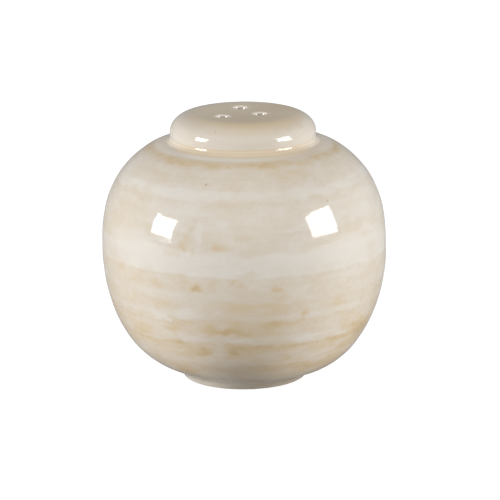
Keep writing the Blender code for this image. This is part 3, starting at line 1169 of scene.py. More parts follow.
@dataclass(frozen=True)
class SoftRubber:
    """Off-white moulded rubber with a satin skin, a little dusty in places.

    Attributes:
        light: Its colour.
        shade: Its colour in the darker clouds.
        dust: Colour of the dust.
        ior: Its refraction.
        satin: Its roughness.
        cloud_roughness: Roughness that the clouds add.
        clouds: The darker clouds.
        grains: The dust.
        skin: Grain of its skin.
        skin_depth: Depth of that, in metres.
        skin_strength: How far it turns the light.
    """

    light: Colour = (0.66, 0.64, 0.60)
    shade: Colour = (0.55, 0.53, 0.485)
    dust: Colour = (0.74, 0.73, 0.71)
    ior: float = 1.45
    satin: float = 0.48
    cloud_roughness: float = 0.14
    clouds: Clouds = Clouds((0.3, 0.3, 0.3), 0.3, 0.7)
    grains: Grains = Grains(1.4, 0.14, 0.15, 1.0)
    skin: Clouds = Clouds((5.0, 5.0, 5.0), 0.2, 0.8)
    skin_depth: float = 0.03 * MM
    skin_strength: float = 0.6

    def material(self, effects: SharedEffects) -> bpy.types.Material:
        """Builds the finish.

        Args:
            effects: The shared node groups.

        Returns:
            The material.
        """
        surface = Surface.start("satin_rubber", effects)
        canvas = surface.canvas
        clouds = surface.clouds(self.clouds)
        rubber = canvas.blend_colours(clouds, self.light, self.shade)
        colour = canvas.blend_colours(surface.grains(self.grains), rubber, self.dust)
        roughness = canvas.line(clouds, self.cloud_roughness, self.satin)
        normal = surface.bump(surface.clouds(self.skin), self.skin_depth, self.skin_strength)
        return surface.finish(colour, roughness, self.ior, normal)


@dataclass(frozen=True)
class GlobeQuarter:
    """The globe's wall on one side of its widest ring: a superellipse, by angle from that ring to the pole.

    Attributes:
        radius: Radius of the widest ring.
        equator: Height of that ring.
        reach: Height from there to the pole.
        across_power: Power of the superellipse along the radius; 2 and 2 make a plain ellipse.
        along_power: Its power along the height.
        side: 1 above the ring, -1 below it.
    """

    radius: float
    equator: float
    reach: float
    across_power: float
    along_power: float
    side: int

    def point(self, angle: float) -> Point:
        """Radius and height at an angle."""
        rise = self.reach * math.sin(angle) ** (2 / self.along_power)
        return self.radius * math.cos(angle) ** (2 / self.across_power), self.equator + self.side * rise

    def normal(self, angle: float) -> Point:
        """Outward direction at an angle.

        Args:
            angle: Where to read it.

        Returns:
            Its parts along the radius and the height.
        """
        radius, height = self.point(angle)
        rise = abs(height - self.equator) / self.reach
        across = self.across_power * (radius / self.radius) ** (self.across_power - 1) / self.radius
        along = self.along_power * rise ** (self.along_power - 1) / self.reach
        length = math.hypot(across, along)
        return across / length, self.side * along / length

    def angle_at_radius(self, radius: float) -> float:
        """Angle where the wall has a radius."""
        return math.acos((radius / self.radius) ** (self.across_power / 2))

    def angle_at_height(self, height: float) -> float:
        """Angle where the wall is at a height."""
        return math.asin((abs(height - self.equator) / self.reach) ** (self.along_power / 2))

    def points(self, start: float, end: float, count: int) -> Outline:
        """Outline between two angles."""
        return [self.point(angle) for angle in spread(start, end, count)]


@dataclass(frozen=True)
class ThrowingMarks:
    """Unevenness of a thrown wall: faint finger rings, and a body that isn't quite round.

    Attributes:
        ring_depth: Depth of the broad rings.
        ring_pitch: Height between them.
        ring_wander: How far they run off level, and where around the axis.
        line_depth: Depth of the narrow rings.
        line_pitch: Height between them.
        line_wander: How far they run off level, and where around the axis.
        lobe_depth: How far the body is out of round.
        oval_phase: Where around the axis its oval lies.
        lobe_share: Depth of its three lobes, counted in the oval's.
        lobe_phase: Where around the axis they lie.
        bulge: How far the belly stands out on its right.
        bulge_low: Heights over which that sets in.
        bulge_high: Heights over which it fades out.
        slump: How far the lower belly hangs down on its right.
        slump_low: Heights over which that sets in above the foot.
        slump_high: Heights over which it fades out.
        right_phase: How far that side lies off the X axis.
        low: Heights over which the marks set in above the foot.
        high: Heights over which they fade out under the cap.
        outside: Radii over which all of it sets in, so that the base stays true.
    """

    ring_depth: float = 0.020 * MM
    ring_pitch: float = 7.3 * MM
    ring_wander: Point = (0.9, 1.1)
    line_depth: float = 0.006 * MM
    line_pitch: float = 3.1 * MM
    line_wander: Point = (0.6, 2.0)
    lobe_depth: float = 0.06 * MM
    oval_phase: float = 0.7
    lobe_share: float = 0.6
    lobe_phase: float = 2.0
    bulge: float = 0.22 * MM
    bulge_low: Point = (12.0 * MM, 20.0 * MM)
    bulge_high: Point = (28.0 * MM, 38.0 * MM)
    slump: float = 0.8 * MM
    slump_low: Point = (1.2 * MM, 4.2 * MM)
    slump_high: Point = (5.0 * MM, 24.0 * MM)
    right_phase: float = 0.1
    low: Point = (5.0 * MM, 10.0 * MM)
    high: Point = (58.0 * MM, 61.0 * MM)
    outside: Point = (13.2 * MM, 14.6 * MM)

    def press(
        self, radii: np.ndarray, heights: np.ndarray, angles: np.ndarray
    ) -> tuple[np.ndarray, np.ndarray]:
        """Presses the marks into a wall.

        Args:
            radii: Radii of its points.
            heights: Their heights.
            angles: Their angles around the axis.

        Returns:
            The new radii and heights.
        """
        share = ease(radii, *self.outside)
        return radii + share * self.offset(heights, angles), heights - share * self.drop(heights, angles)

    @staticmethod
    def between(heights: np.ndarray, low: Point, high: Point) -> np.ndarray:
        """Share that sets in over the low heights and fades out over the high ones."""
        return ease(heights, *low) * (1 - ease(heights, *high))

    def right_side(self, angles: np.ndarray) -> np.ndarray:
        """Share that is 1 on the viewer's right and fades to 0 at the front and the back."""
        return np.maximum(0.0, np.cos(angles + self.right_phase)) ** 2

    def offset(self, heights: np.ndarray, angles: np.ndarray) -> np.ndarray:
        """How far the wall stands out.

        Args:
            heights: Heights of the points.
            angles: Their angles around the axis.

        Returns:
            The offset along the radius at each point.
        """
        turn = 2 * math.pi * heights
        reach, phase = self.ring_wander
        rings = np.sin(turn / self.ring_pitch + reach * np.sin(angles + phase))
        reach, phase = self.line_wander
        lines = np.sin(turn / self.line_pitch + reach * np.sin(2 * angles + phase))
        lobes = np.sin(2 * angles + self.oval_phase) + self.lobe_share * np.sin(3 * angles + self.lobe_phase)
        depth = self.ring_depth * rings + self.line_depth * lines + self.lobe_depth * lobes
        bulge = self.right_side(angles) * self.between(heights, self.bulge_low, self.bulge_high)
        return depth * self.between(heights, self.low, self.high) + self.bulge * bulge

    def drop(self, heights: np.ndarray, angles: np.ndarray) -> np.ndarray:
        """How far the wall hangs down at points, from their heights and their angles around the axis."""
        share = self.between(heights, self.slump_low, self.slump_high)
        return self.slump * self.right_side(angles) * share


@dataclass(frozen=True)
class PourHole:
    """One hole in the cap's top, with a lip that the glaze has rounded.

    Attributes:
        middle: Its place on the cap.
        radius: Radius of its throat.
        mouth: Radius of its upper end, where the flared wall meets the lip.
        lip: Radius of the rounded lip around it.
        steepness: Slope of the flared wall, a little steeper than the CAD solid's.
        steps: Points around it.
        lip_rings: Steps of the mesh over the lip.
        wall_rings: Steps of the mesh over the flared wall.
        outer_rings: How far outside the lip further rings of the mesh lie.
    """

    middle: Point
    radius: float = 1.15 * MM
    mouth: float = 1.7 * MM
    lip: float = 0.3 * MM
    steepness: float = math.radians(75.5)
    steps: int = 48
    lip_rings: int = 8
    wall_rings: int = 4
    outer_rings: tuple[float, ...] = (0.25 * MM, 0.6 * MM)

    @property
    def rim(self) -> float:
        """Radius where the lip runs out into the cap's surface."""
        return self.mouth + self.lip * math.sin(self.steepness)

    def drop(self, distances: np.ndarray) -> np.ndarray:
        """How far the lip and the flared wall dip below the cap's surface.

        Args:
            distances: Distances from the hole's axis.

        Returns:
            The drop at each of them.
        """
        inward = np.clip(self.rim - distances, 0.0, self.rim - self.mouth)
        deeper = np.clip(self.mouth - distances, 0.0, self.mouth - self.radius)
        return self.lip - np.sqrt(self.lip**2 - inward**2) + deeper * math.tan(self.steepness)

    def ring(self, radius: float) -> list[Point]:
        """A closed ring of points around the hole."""
        return circle(self.middle, radius, self.steps)

    def ring_radii(self) -> list[float]:
        """Radii of the rings of the mesh.

        Returns:
            The radii, from the throat outwards.
        """
        turns = spread(self.steepness, 0.0, self.lip_rings)
        wall = spread(self.radius, self.mouth, self.wall_rings)
        lip = [self.rim - self.lip * math.sin(turn) for turn in turns]
        return wall + lip[1:] + [self.rim + more for more in self.outer_rings]

    def distance(self, places: np.ndarray) -> np.ndarray:
        """Distances of places from the hole's axis."""
        return np.hypot(places[:, 0] - self.middle[0], places[:, 1] - self.middle[1])


@dataclass
class GlazedShell:
    """The fired shell: globe, drum cap with its pour holes, foot ring, sunk base and hollow, in one piece.

    The lengths are those of the CAD solid, but for a ledge under the neck that is drawn out further. The
    widest ring's radius and the cap's height come from its box.
    """

    radius: float
    cap_top: float
    equator: float = 34.7 * MM
    shoulder_rise: float = 29.9 * MM
    shoulder_fullness: float = 2.49
    belly_lift: float = 1.05 * MM
    belly_powers: Point = (3.3, 2.02)
    cap_radius: float = 18.45 * MM
    cap_edge_width: float = 6.3 * MM
    cap_edge_drop: float = 4.7 * MM
    cap_dish: float = 0.15 * MM
    neck_fillet: float = 1.5 * MM
    neck_sweep: float = math.radians(80.0)
    neck_drop: float = 1.1 * MM
    neck_reach: float = 25.0 * MM
    neck_height: float = 63.1 * MM
    pour_places: tuple[Point, ...] = ((-0.63 * MM, 6.2 * MM), (-5.1 * MM, -4.4 * MM), (4.3 * MM, -1.4 * MM))
    wall: float = 3.6 * MM
    cap_roof: float = 3.4 * MM
    hollow_edge: float = 3.0 * MM
    base_thickness: float = 4.2 * MM
    foot_radius: float = 15.0 * MM
    foot_round: float = 0.8 * MM
    foot_flare: float = 5.0 * MM
    foot_flat: float = 2.1 * MM
    foot_inner_round: float = 0.8 * MM
    seat_height: float = 3.2 * MM
    seat_fillet: float = 0.8 * MM
    fill_radius: float = 8.4 * MM
    fill_edge: float = 0.7 * MM
    patch_radius: float = 11.2 * MM
    patch_grain: float = 0.9 * MM
    patch_margin: float = 0.4 * MM
    lip_margin: float = 0.3 * MM
    segments: int = 160
    dish_steps: int = 3
    edge_steps: int = 24
    neck_steps: int = 14
    ledge_steps: int = 16
    shoulder_steps: int = 52
    belly_steps: int = 56
    flare_steps: int = 16
    foot_steps: int = 8
    round_steps: int = 6
    hollow_steps: int = 14
    throat_steps: int = 3
    crease: float = math.radians(50.0)
    marks: ThrowingMarks = field(default_factory=ThrowingMarks)

    def __post_init__(self) -> None:
        """Works out the walls and the holes that follow from the sizes."""
        drop = self.equator - self.belly_lift
        inner = self.radius - self.wall
        rise = self.shoulder_rise - self.wall
        shoulder_powers = (self.shoulder_fullness, self.shoulder_fullness)
        self.shoulder = GlobeQuarter(self.radius, self.equator, self.shoulder_rise, *shoulder_powers, 1)
        self.belly = GlobeQuarter(self.radius, self.equator, drop, *self.belly_powers, -1)
        self.inner_shoulder = GlobeQuarter(inner, self.equator, rise, *shoulder_powers, 1)
        self.inner_belly = GlobeQuarter(inner, self.equator, drop - self.wall, *self.belly_powers, -1)
        self.plateau = self.cap_radius - self.cap_edge_width
        self.roof = self.cap_top - self.cap_dish - self.cap_roof
        self.roof_radius = self.cap_radius - self.wall - self.hollow_edge
        self.floor = self.seat_height + self.base_thickness
        self.recess_radius = self.foot_radius - self.foot_flat - self.foot_inner_round
        self.holes = [PourHole(place) for place in self.pour_places]

    def radius_at(self, height: float) -> float:
        """Outer radius of the globe or of the cap's side.

        Args:
            height: Where to read it.

        Returns:
            The radius.
        """
        if height > self.neck_height:
            return self.cap_radius
        quarter = self.shoulder if height > self.equator else self.belly
        return quarter.point(quarter.angle_at_height(height))[0]

    def flare_centre(self, angle: float) -> Point:
        """Centre of a hollow arc that touches the belly.

        Args:
            angle: Where on the belly it does so.

        Returns:
            The centre, as radius and height.
        """
        radius, height = self.belly.point(angle)
        across, along = self.belly.normal(angle)
        return radius + self.foot_flare * across, height + self.foot_flare * along

    def flare_angle(self) -> float:
        """Place on the belly where the hollow flare of the foot leaves it.

        Returns:
            The place, as an angle of the belly.
        """

        def gap(angle: float) -> float:
            """How far the flare is from the foot's round edge.

            Args:
                angle: Where the flare leaves the belly.

            Returns:
                The gap, which is negative where they overlap.
            """
            across, along = self.flare_centre(angle)
            away = math.hypot(across - self.foot_radius, along - self.foot_round)
            return away - self.foot_flare - self.foot_round

        return find_root(gap, 0.0, self.belly.angle_at_radius(self.foot_radius))

    def dish_height(self, radii: np.ndarray | float) -> np.ndarray | float:
        """Height of the cap's dished top at radii from the axis."""
        share = 1 - (radii / self.plateau) ** 2
        return self.cap_top - self.cap_dish * share**2

    def top_heights(self, places: np.ndarray) -> np.ndarray:
        """Heights of the cap's top.

        Args:
            places: Points on it, in plan.

        Returns:
            Their heights, with the lips of the pour holes.
        """
        heights = self.dish_height(np.hypot(places[:, 0], places[:, 1]))
        for hole in self.holes:
            heights = heights - hole.drop(hole.distance(places))
        return heights

    def skin_outline(self) -> Outline:
        """Outside of the cap and the globe.

        Returns:
            Its points, from the pierced top down to the foot's flare.
        """
        radii = spread(self.patch_radius, self.plateau, self.dish_steps)
        dish = [(radius, self.dish_height(radius)) for radius in radii]
        edge = (self.plateau, self.cap_top - self.cap_edge_drop)
        cap = arc(edge, self.cap_edge_width, self.cap_edge_drop, RIGHT_ANGLE, 0.0, self.edge_steps)
        centre = (self.cap_radius + self.neck_fillet, edge[1] - self.neck_drop)
        neck = round_arc(centre, self.neck_fillet, math.pi, math.pi + self.neck_sweep, self.neck_steps)
        angle = self.shoulder.angle_at_radius(self.neck_reach)
        across, along = self.shoulder.normal(angle)
        slope = -1 / math.tan(self.neck_sweep)
        ledge = bridge(neck[-1], slope, self.shoulder.point(angle), -across / along, self.ledge_steps)
        shoulder = self.shoulder.points(angle, 0.0, self.shoulder_steps)
        belly = self.belly.points(0.0, self.flare_angle(), self.belly_steps)
        return dish[:-1] + cap + neck + ledge[1:] + shoulder[1:] + belly[1:]

    def foot_outline(self) -> Outline:
        """Foot ring, sunk base and filling hole.

        Returns:
            Their points, from the flare inwards and up to the hollow's floor.
        """
        angle = self.flare_angle()
        flare = self.flare_centre(angle)
        across, along = self.belly.normal(angle)
        turn = math.atan2(flare[1] - self.foot_round, flare[0] - self.foot_radius)
        start = math.atan2(-along, -across)
        rim = (self.foot_radius, self.foot_round)
        inner = (self.foot_radius - self.foot_flat, self.foot_inner_round)
        corner = (self.recess_radius - self.seat_fillet, self.seat_height - self.seat_fillet)
        edge = self.fill_radius + self.fill_edge
        lower = (edge, self.seat_height + self.fill_edge)
        upper = (edge, self.floor - self.fill_edge)
        steps = self.round_steps
        points = round_arc(flare, self.foot_flare, start, turn + math.pi, self.flare_steps)
        points += round_arc(rim, self.foot_round, turn, -RIGHT_ANGLE, self.foot_steps)[1:]
        points += round_arc(inner, self.foot_inner_round, -RIGHT_ANGLE, -math.pi, steps)
        points += round_arc(corner, self.seat_fillet, 0.0, RIGHT_ANGLE, steps)
        points += round_arc(lower, self.fill_edge, -RIGHT_ANGLE, -math.pi, steps)
        points += round_arc(upper, self.fill_edge, math.pi, RIGHT_ANGLE, steps)
        points.append(self.inner_belly.point(self.inner_belly.angle_at_height(self.floor)))
        return points

    def hollow_outline(self) -> Outline:
        """Inside of the shell.

        Returns:
            Its points, from the floor up to the roof under the cap.
        """
        floor = self.inner_belly.angle_at_height(self.floor)
        neck = self.inner_shoulder.angle_at_radius(self.cap_radius - self.wall)
        corner = (self.roof_radius, self.roof - self.hollow_edge)
        points = self.inner_belly.points(floor, 0.0, self.hollow_steps)
        points += self.inner_shoulder.points(0.0, neck, self.hollow_steps)[1:]
        return points + round_arc(corner, self.hollow_edge, 0.0, RIGHT_ANGLE, self.round_steps)

    def pierced_disc(self, radius: float, lips: bool) -> tuple[np.ndarray, list[tuple[int, ...]]]:
        """A disc in plan, with the pour holes left open.

        Args:
            radius: Radius of its rim, whose points match the turned wall's.
            lips: Whether it carries the rings of the lips and an even grain of points.

        Returns:
            Its points in plan and its triangles.
        """
        places = circle((0.0, 0.0), radius, self.segments)
        loops = [list(range(self.segments))]
        for hole in self.holes:
            loops.append(list(range(len(places), len(places) + hole.steps)))
            for ring_radius in hole.ring_radii() if lips else [hole.radius]:
                places += hole.ring(ring_radius)
        if lips:
            places += self.grain_points(radius)
        edges = [(loop[step], loop[(step + 1) % len(loop)]) for loop in loops for step in range(len(loop))]
        plan = [Vector(place) / MM for place in places]
        points, _, faces, *_ = delaunay_2d_cdt(plan, edges, [], 0, TRIANGLE_MARGIN)
        plan_points = np.array([tuple(point) for point in points]) * MM
        return plan_points, [tuple(face) for face in faces if self.on_material(plan_points[list(face)])]

    def on_material(self, triangle: np.ndarray) -> bool:
        """Whether a triangle in plan lies outside every throat."""
        middle = triangle.mean(axis=0, keepdims=True)
        return all(hole.distance(middle)[0] > hole.radius for hole in self.holes)

    def grain_points(self, radius: float) -> list[Point]:
        """An even grain of points over the cap's top, clear of its rim and of the lips.

        Args:
            radius: Radius of the rim.

        Returns:
            The points in plan, in rows that stand half a step off each other.
        """
        rows = int(radius / self.patch_grain) + 1
        points = []
        for row in range(-rows, rows + 1):
            for step in range(-rows, rows + 1):
                across = (step + 0.5 * (row % 2)) * self.patch_grain
                along = row * self.patch_grain * math.sqrt(0.75)
                if math.hypot(across, along) < radius - self.patch_margin and self.off_lips(across, along):
                    points.append((across, along))
        return points

    def off_lips(self, across: float, along: float) -> bool:
        """Whether a place on the cap's top is clear of the rings around every hole."""
        place = np.array([[across, along]])
        return all(hole.distance(place)[0] > hole.ring_radii()[-1] + self.lip_margin for hole in self.holes)

    def throat(self, hole: PourHole) -> np.ndarray:
        """Points of a hole's straight throat.

        Args:
            hole: The hole.

        Returns:
            Rings of points, from the lip down to the roof of the hollow.
        """
        ring = np.array(hole.ring(hole.radius))
        tops = self.top_heights(ring)
        shares = spread(0.0, 1.0, self.throat_steps)
        rows = [np.column_stack([ring, tops * (1 - share) + self.roof * share]) for share in shares]
        return np.concatenate(rows)

    def build(self) -> bpy.types.Object:
        """Makes the piece.

        Returns:
            The shell as one closed mesh.
        """
        builder = MeshBuilder(self.segments)
        builder.turn(self.skin_outline(), self.marks)
        builder.turn(self.foot_outline(), self.marks)
        builder.turn(self.hollow_outline())
        plan, faces = self.pierced_disc(self.patch_radius, True)
        builder.add(np.column_stack([plan, self.top_heights(plan)]).tolist(), faces)
        plan, faces = self.pierced_disc(self.roof_radius, False)
        builder.add(np.column_stack([plan, np.full(len(plan), self.roof)]).tolist(), faces)
        for hole in self.holes:
            points = self.throat(hole)
            builder.add(points.tolist(), MeshBuilder(hole.steps).strip(len(points) // hole.steps))
        return builder.finish("glazed_body", self.crease)

    def dress(self, piece: bpy.types.Object, effects: SharedEffects, glaze: ReactiveGlaze) -> None:
        """Glazes the piece and ties it to its body.

        Args:
            piece: The shell.
            effects: The shared node groups.
            glaze: Its finish.
        """
        piece.data.materials.append(glaze.material(effects, self))
        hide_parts(CadNode.CERAMIC.value)
        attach(piece, Body.SHAKER.value)


@dataclass
class BaseStopper:
    """The soft plug: a ribbed stem, a flange that hides in the foot, and a hollow with a bar to pull it by.

    Heights are measured from the seat on the ceramic, which is given.
    """

    seat: float
    fill_radius: float
    base_thickness: float
    recess_radius: float
    seat_gap: float = 0.3 * MM
    flange_clearance: float = 0.7 * MM
    flange_thickness: float = 1.9 * MM
    flange_round: float = 0.6 * MM
    plug_clearance: float = 0.45 * MM
    rib_clearance: float = 0.12 * MM
    rib_height: float = 1.0 * MM
    rib_count: int = 2
    rib_margin: float = 0.7 * MM
    plug_reach: float = 3.4 * MM
    nose_taper: float = 0.9 * MM
    nose_round: float = 1.0 * MM
    plug_wall: float = 1.5 * MM
    plug_end: float = 2.0 * MM
    finger_draft: float = 0.4 * MM
    grip_width: float = 2.0 * MM
    grip_height: float = 3.2 * MM
    grip_sink: float = 0.5 * MM
    grip_round: float = 0.5 * MM
    groove_radius: float = 9.2 * MM
    groove_half_width: float = 0.35 * MM
    groove_depth: float = 0.18 * MM
    segments: int = 120
    nose_steps: int = 8
    rib_steps: int = 10
    flange_steps: int = 6
    groove_steps: int = 8
    grip_steps: int = 5
    crease: float = math.radians(40.0)

    def __post_init__(self) -> None:
        """Works out the sizes that follow from the fits."""
        self.plug_radius = self.fill_radius - self.plug_clearance
        self.finger_radius = self.plug_radius - self.plug_wall
        self.flange_radius = self.recess_radius - self.flange_clearance
        self.flange_bottom = -self.seat_gap - self.flange_thickness
        self.top = self.base_thickness + self.plug_reach

    def ribs(self) -> Outline:
        """The sealing ribs along the stem.

        Returns:
            Their points, from the top one down.
        """
        reach = self.plug_clearance - self.rib_clearance
        room = self.base_thickness - 2 * self.rib_margin
        points = []
        for rib in reversed(range(self.rib_count)):
            centre = (self.plug_radius, self.rib_margin + room * (rib + 0.5) / self.rib_count)
            points += arc(centre, reach, self.rib_height / 2, RIGHT_ANGLE, -RIGHT_ANGLE, self.rib_steps)
        return points

    def outline(self) -> Outline:
        """Turned outline of the plug.

        Returns:
            Its points, from the nose down the ribs, round the flange and up into the finger hollow.
        """
        nose = (self.plug_radius - self.nose_taper - self.nose_round, self.top - self.nose_round)
        edge, steps = self.flange_round, self.flange_steps
        rim = self.flange_radius - edge
        upper, lower = (rim, -self.seat_gap - edge), (rim, self.flange_bottom + edge)
        groove = (self.groove_radius, self.flange_bottom)
        mouth = (self.finger_radius + edge, self.flange_bottom + edge)
        end = self.top - self.plug_end
        deep = (self.finger_radius - self.finger_draft - self.nose_round, end - self.nose_round)
        points = [(0.0, self.top)]
        points += round_arc(nose, self.nose_round, RIGHT_ANGLE, 0.0, self.nose_steps)
        points.append((self.plug_radius, self.base_thickness))
        points += self.ribs()
        points.append((self.plug_radius, -self.seat_gap))
        points += round_arc(upper, edge, RIGHT_ANGLE, 0.0, steps)
        points += round_arc(lower, edge, 0.0, -RIGHT_ANGLE, steps)
        points += arc(groove, self.groove_half_width, self.groove_depth, 0.0, math.pi, self.groove_steps)
        points += round_arc(mouth, edge, -RIGHT_ANGLE, -math.pi, steps)
        points += round_arc(deep, self.nose_round, 0.0, RIGHT_ANGLE, self.nose_steps)
        points.append((0.0, end))
        return [(radius, height + self.seat) for radius, height in points]

    def grip_bar(self) -> bpy.types.Object:
        """The bar across the finger hollow, rooted half-way into its wall on both sides.

        Returns:
            The bar, as a helper that is joined to the plug.
        """
        length = 2 * self.finger_radius + self.plug_wall
        middle = self.seat + self.flange_bottom + self.grip_sink + self.grip_height / 2
        rounding = {"offset": self.grip_round, "segments": self.grip_steps, "profile": 0.5}
        work = bmesh.new()
        bmesh.ops.create_cube(work, size=1.0)
        bmesh.ops.scale(work, vec=(length, self.grip_width, self.grip_height), verts=work.verts)
        bmesh.ops.translate(work, vec=(0.0, 0.0, middle), verts=work.verts)
        bmesh.ops.bevel(work, geom=work.edges, affect="EDGES", **rounding)
        mesh = bpy.data.meshes.new("grip_bar")
        work.to_mesh(mesh)
        work.free()
        return add_piece("grip_bar", mesh)

    def build(self) -> bpy.types.Object:
        """Makes the piece.

        Returns:
            The stopper as one closed mesh.
        """
        builder = MeshBuilder(self.segments)
        builder.turn(self.outline())
        turned = builder.finish("turned_plug", self.crease)
        bar = self.grip_bar()
        union = turned.modifiers.new("Bar", "BOOLEAN")
        union.operation = "UNION"
        union.solver = "EXACT"
        union.object = bar
        seen = turned.evaluated_get(bpy.context.evaluated_depsgraph_get())
        mesh = bpy.data.meshes.new_from_object(seen)
        for helper in (turned, bar):
            bpy.data.objects.remove(helper, do_unlink=True)
        mesh.name = "soft_stopper"
        mesh.shade_smooth()
        mesh.set_sharp_from_angle(angle=self.crease)
        return add_piece("soft_stopper", mesh)

    def dress(self, piece: bpy.types.Object, effects: SharedEffects, rubber: SoftRubber) -> None:
        """Gives the piece its rubber and ties it to its body.

        Args:
            piece: The stopper.
            effects: The shared node groups.
            rubber: Its finish.
        """
        piece.data.materials.clear()
        piece.data.materials.append(rubber.material(effects))
        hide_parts(CadNode.STOPPER.value)
        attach(piece, Body.STOPPER.value)


@dataclass(frozen=True)
class Softbox:
    """A square studio lamp.

    Attributes:
        name: Its name.
        azimuth: Degrees from the front, towards the viewer's right.
        elevation: Degrees above the table.
        spread: Degrees that it fills, seen from the object.
        power: Watts.
        roll: Degrees that it is turned about the line to the object.
    """

    name: str
    azimuth: float
    elevation: float
    spread: float
    power: float
    roll: float


@dataclass
class Studio:
    """Plain pale floor, two softboxes and a soft room, and the camera at the photograph's angle.

    Attributes:
        aim: Where the lamps point.
        lamp_distance: How far they stand from there.
        softboxes: The lamps.
        floor_radius: Radius of the floor.
        floor_gap: How far it lies under the foot.
        floor_segments: Steps of one full turn of the floor.
        floor_opening: Radius of the opening under the foot ring.
        floor_colour: Colour by which it lights the shaker.
        floor_front_shade: That colour in front of the shaker, darker as painted shade for its lower front.
        front_edge: How far a place faces the front where that sets in and is full.
        floor_painted_shadow: Painted shadow close to the foot: levels for plain light and for what the glaze
            mirrors.
        near_reach: Radii over which those fade out.
        near_share: Share of the rest of the floor that is left within them.
        floor_glow: Share of the floor's white that shadows don't reach.
        floor_shade: Share that they do.
        mirrored_shade: Degrees from the front, and the level there of what the glaze mirrors, darkest in
            front as painted shade.
        room_dim: Strength of the room's light from behind.
        room_bright: Its strength from the viewer's side.
        room_turn: How far a direction faces that side where the change starts and ends.
        room_elevation: Degrees above the table of the room's brightest place.
        camera_elevation: Degrees of the camera above the table.
        camera_distance: How far it stands from its target.
        camera_lens: Its focal length in millimetres.
        camera_target: Where it points.
        camera_roll: Degrees that it is turned about its view.
        camera_clip: Nearest and farthest distance that it sees.
    """

    aim: Vector = field(default_factory=lambda: Vector((0.0, 0.0, 34.0 * MM)))
    lamp_distance: float = 1.4
    softboxes: tuple[Softbox, ...] = (
        Softbox("softbox_left", -69.3, 13.9, 20.2, 14.9, -1.5),
        Softbox("softbox_right", 68.9, 15.1, 25.0, 14.5, -1.5),
    )
    floor_radius: float = 20.0
    floor_gap: float = 0.1 * MM
    floor_segments: int = 64
    floor_opening: float = 14.65 * MM
    floor_colour: Colour = (0.86, 0.86, 0.86)
    floor_front_shade: Colour = (0.36, 0.36, 0.36)
    front_edge: Point = (0.9, 1.0)
    floor_painted_shadow: Point = (0.66, 0.42)
    near_reach: Point = (22.0 * MM, 48.0 * MM)
    near_share: float = 0.36
    floor_glow: float = 0.88
    floor_shade: float = 0.30
    mirrored_shade: tuple[Point, ...] = (
        (0.0, 0.2),
        (10.0, 0.26),
        (30.0, 0.84),
        (60.0, 0.84),
        (90.0, 0.72),
        (120.0, 0.6),
    )
    room_dim: float = 0.35
    room_bright: float = 0.445
    room_turn: Point = (-0.2, 1.0)
    room_elevation: float = 45.0
    camera_elevation: float = 14.25
    camera_distance: float = 0.9
    camera_lens: float = 254.5
    camera_target: Vector = field(default_factory=lambda: Vector((1.53 * MM, 0.0, 32.48 * MM)))
    camera_roll: float = -0.45
    camera_clip: Point = (0.01, 100.0)

    @staticmethod
    def direction(azimuth: float, elevation: float) -> Vector:
        """Unit vector towards a place around the object, from degrees."""
        turn, rise = math.radians(azimuth), math.radians(elevation)
        return Vector((math.sin(turn) * math.cos(rise), -math.cos(turn) * math.cos(rise), math.sin(rise)))

    def hang_softbox(self, box: Softbox) -> bpy.types.Object:
        """Hangs one lamp.

        Args:
            box: What it is and where.

        Returns:
            The lamp.
        """
        lamp = bpy.data.lights.new(box.name, "AREA")
        lamp.shape = "SQUARE"
        lamp.size = 2 * self.lamp_distance * math.tan(math.radians(box.spread / 2))
        lamp.energy = box.power
        holder = bpy.data.objects.new(box.name, lamp)
        towards = self.direction(box.azimuth, box.elevation)
        roll = Quaternion((0, 0, 1), math.radians(box.roll))
        holder.location = self.aim + towards * self.lamp_distance
        holder.rotation_euler = (towards.to_track_quat("Z", "Y") @ roll).to_euler()
        holder.visible_camera = False
        bpy.context.scene.collection.objects.link(holder)
        return holder

    def lay_floor(self) -> bpy.types.Object:
        """Lays the floor, white where it is seen and keeping the object's shadow.

        Inside the foot ring it is open, so that light reaches the base and the stopper can come out.

        Returns:
            The floor.
        """
        ring = MeshBuilder(self.floor_segments)
        ring.turn([(self.floor_opening, 0.0), (self.floor_radius, 0.0)])
        mesh = bpy.data.meshes.new("studio_floor")
        mesh.from_pydata(ring.corners, [], ring.faces)
        floor = add_piece("studio_floor", mesh)
        floor.location.z = -self.floor_gap
        mesh.materials.append(self.floor_material())
        return floor

    def floor_material(self) -> bpy.types.Material:
        """White to the camera; to other light pale, with painted shadow near the foot and in front; darker
        in reflections and open from below.

        Returns:
            The material.
        """
        material = bpy.data.materials.new("pale_floor")
        material.use_nodes = True
        material.node_tree.nodes.clear()
        canvas = NodeCanvas(material.node_tree)
        path = canvas.add("ShaderNodeLightPath").outputs
        plain, mirrored = (self.matt(canvas, colour) for colour in self.floor_colours(canvas))
        glow = canvas.add("ShaderNodeEmission", {"Strength": self.floor_glow}).outputs[0]
        lit = self.matt(canvas, thrice(self.floor_shade))
        seen = canvas.add("ShaderNodeAddShader", {0: glow, 1: lit}).outputs[0]
        clear = canvas.add("ShaderNodeBsdfTransparent").outputs[0]
        below = canvas.add("ShaderNodeNewGeometry").outputs["Backfacing"]
        in_glaze = canvas.maths("MAXIMUM", path["Is Glossy Ray"], path["Is Transmission Ray"])
        surface = plain
        for share, shader in ((in_glaze, mirrored), (path["Is Camera Ray"], seen), (below, clear)):
            surface = canvas.add("ShaderNodeMixShader", {0: share, 1: surface, 2: shader}).outputs[0]
        canvas.add("ShaderNodeOutputMaterial", {"Surface": surface})
        return material

    @staticmethod
    def matt(canvas: NodeCanvas, colour: Wire) -> Socket:
        """A matt shader of a colour."""
        return canvas.add("ShaderNodeBsdfDiffuse", {"Color": opaque(colour)}).outputs[0]

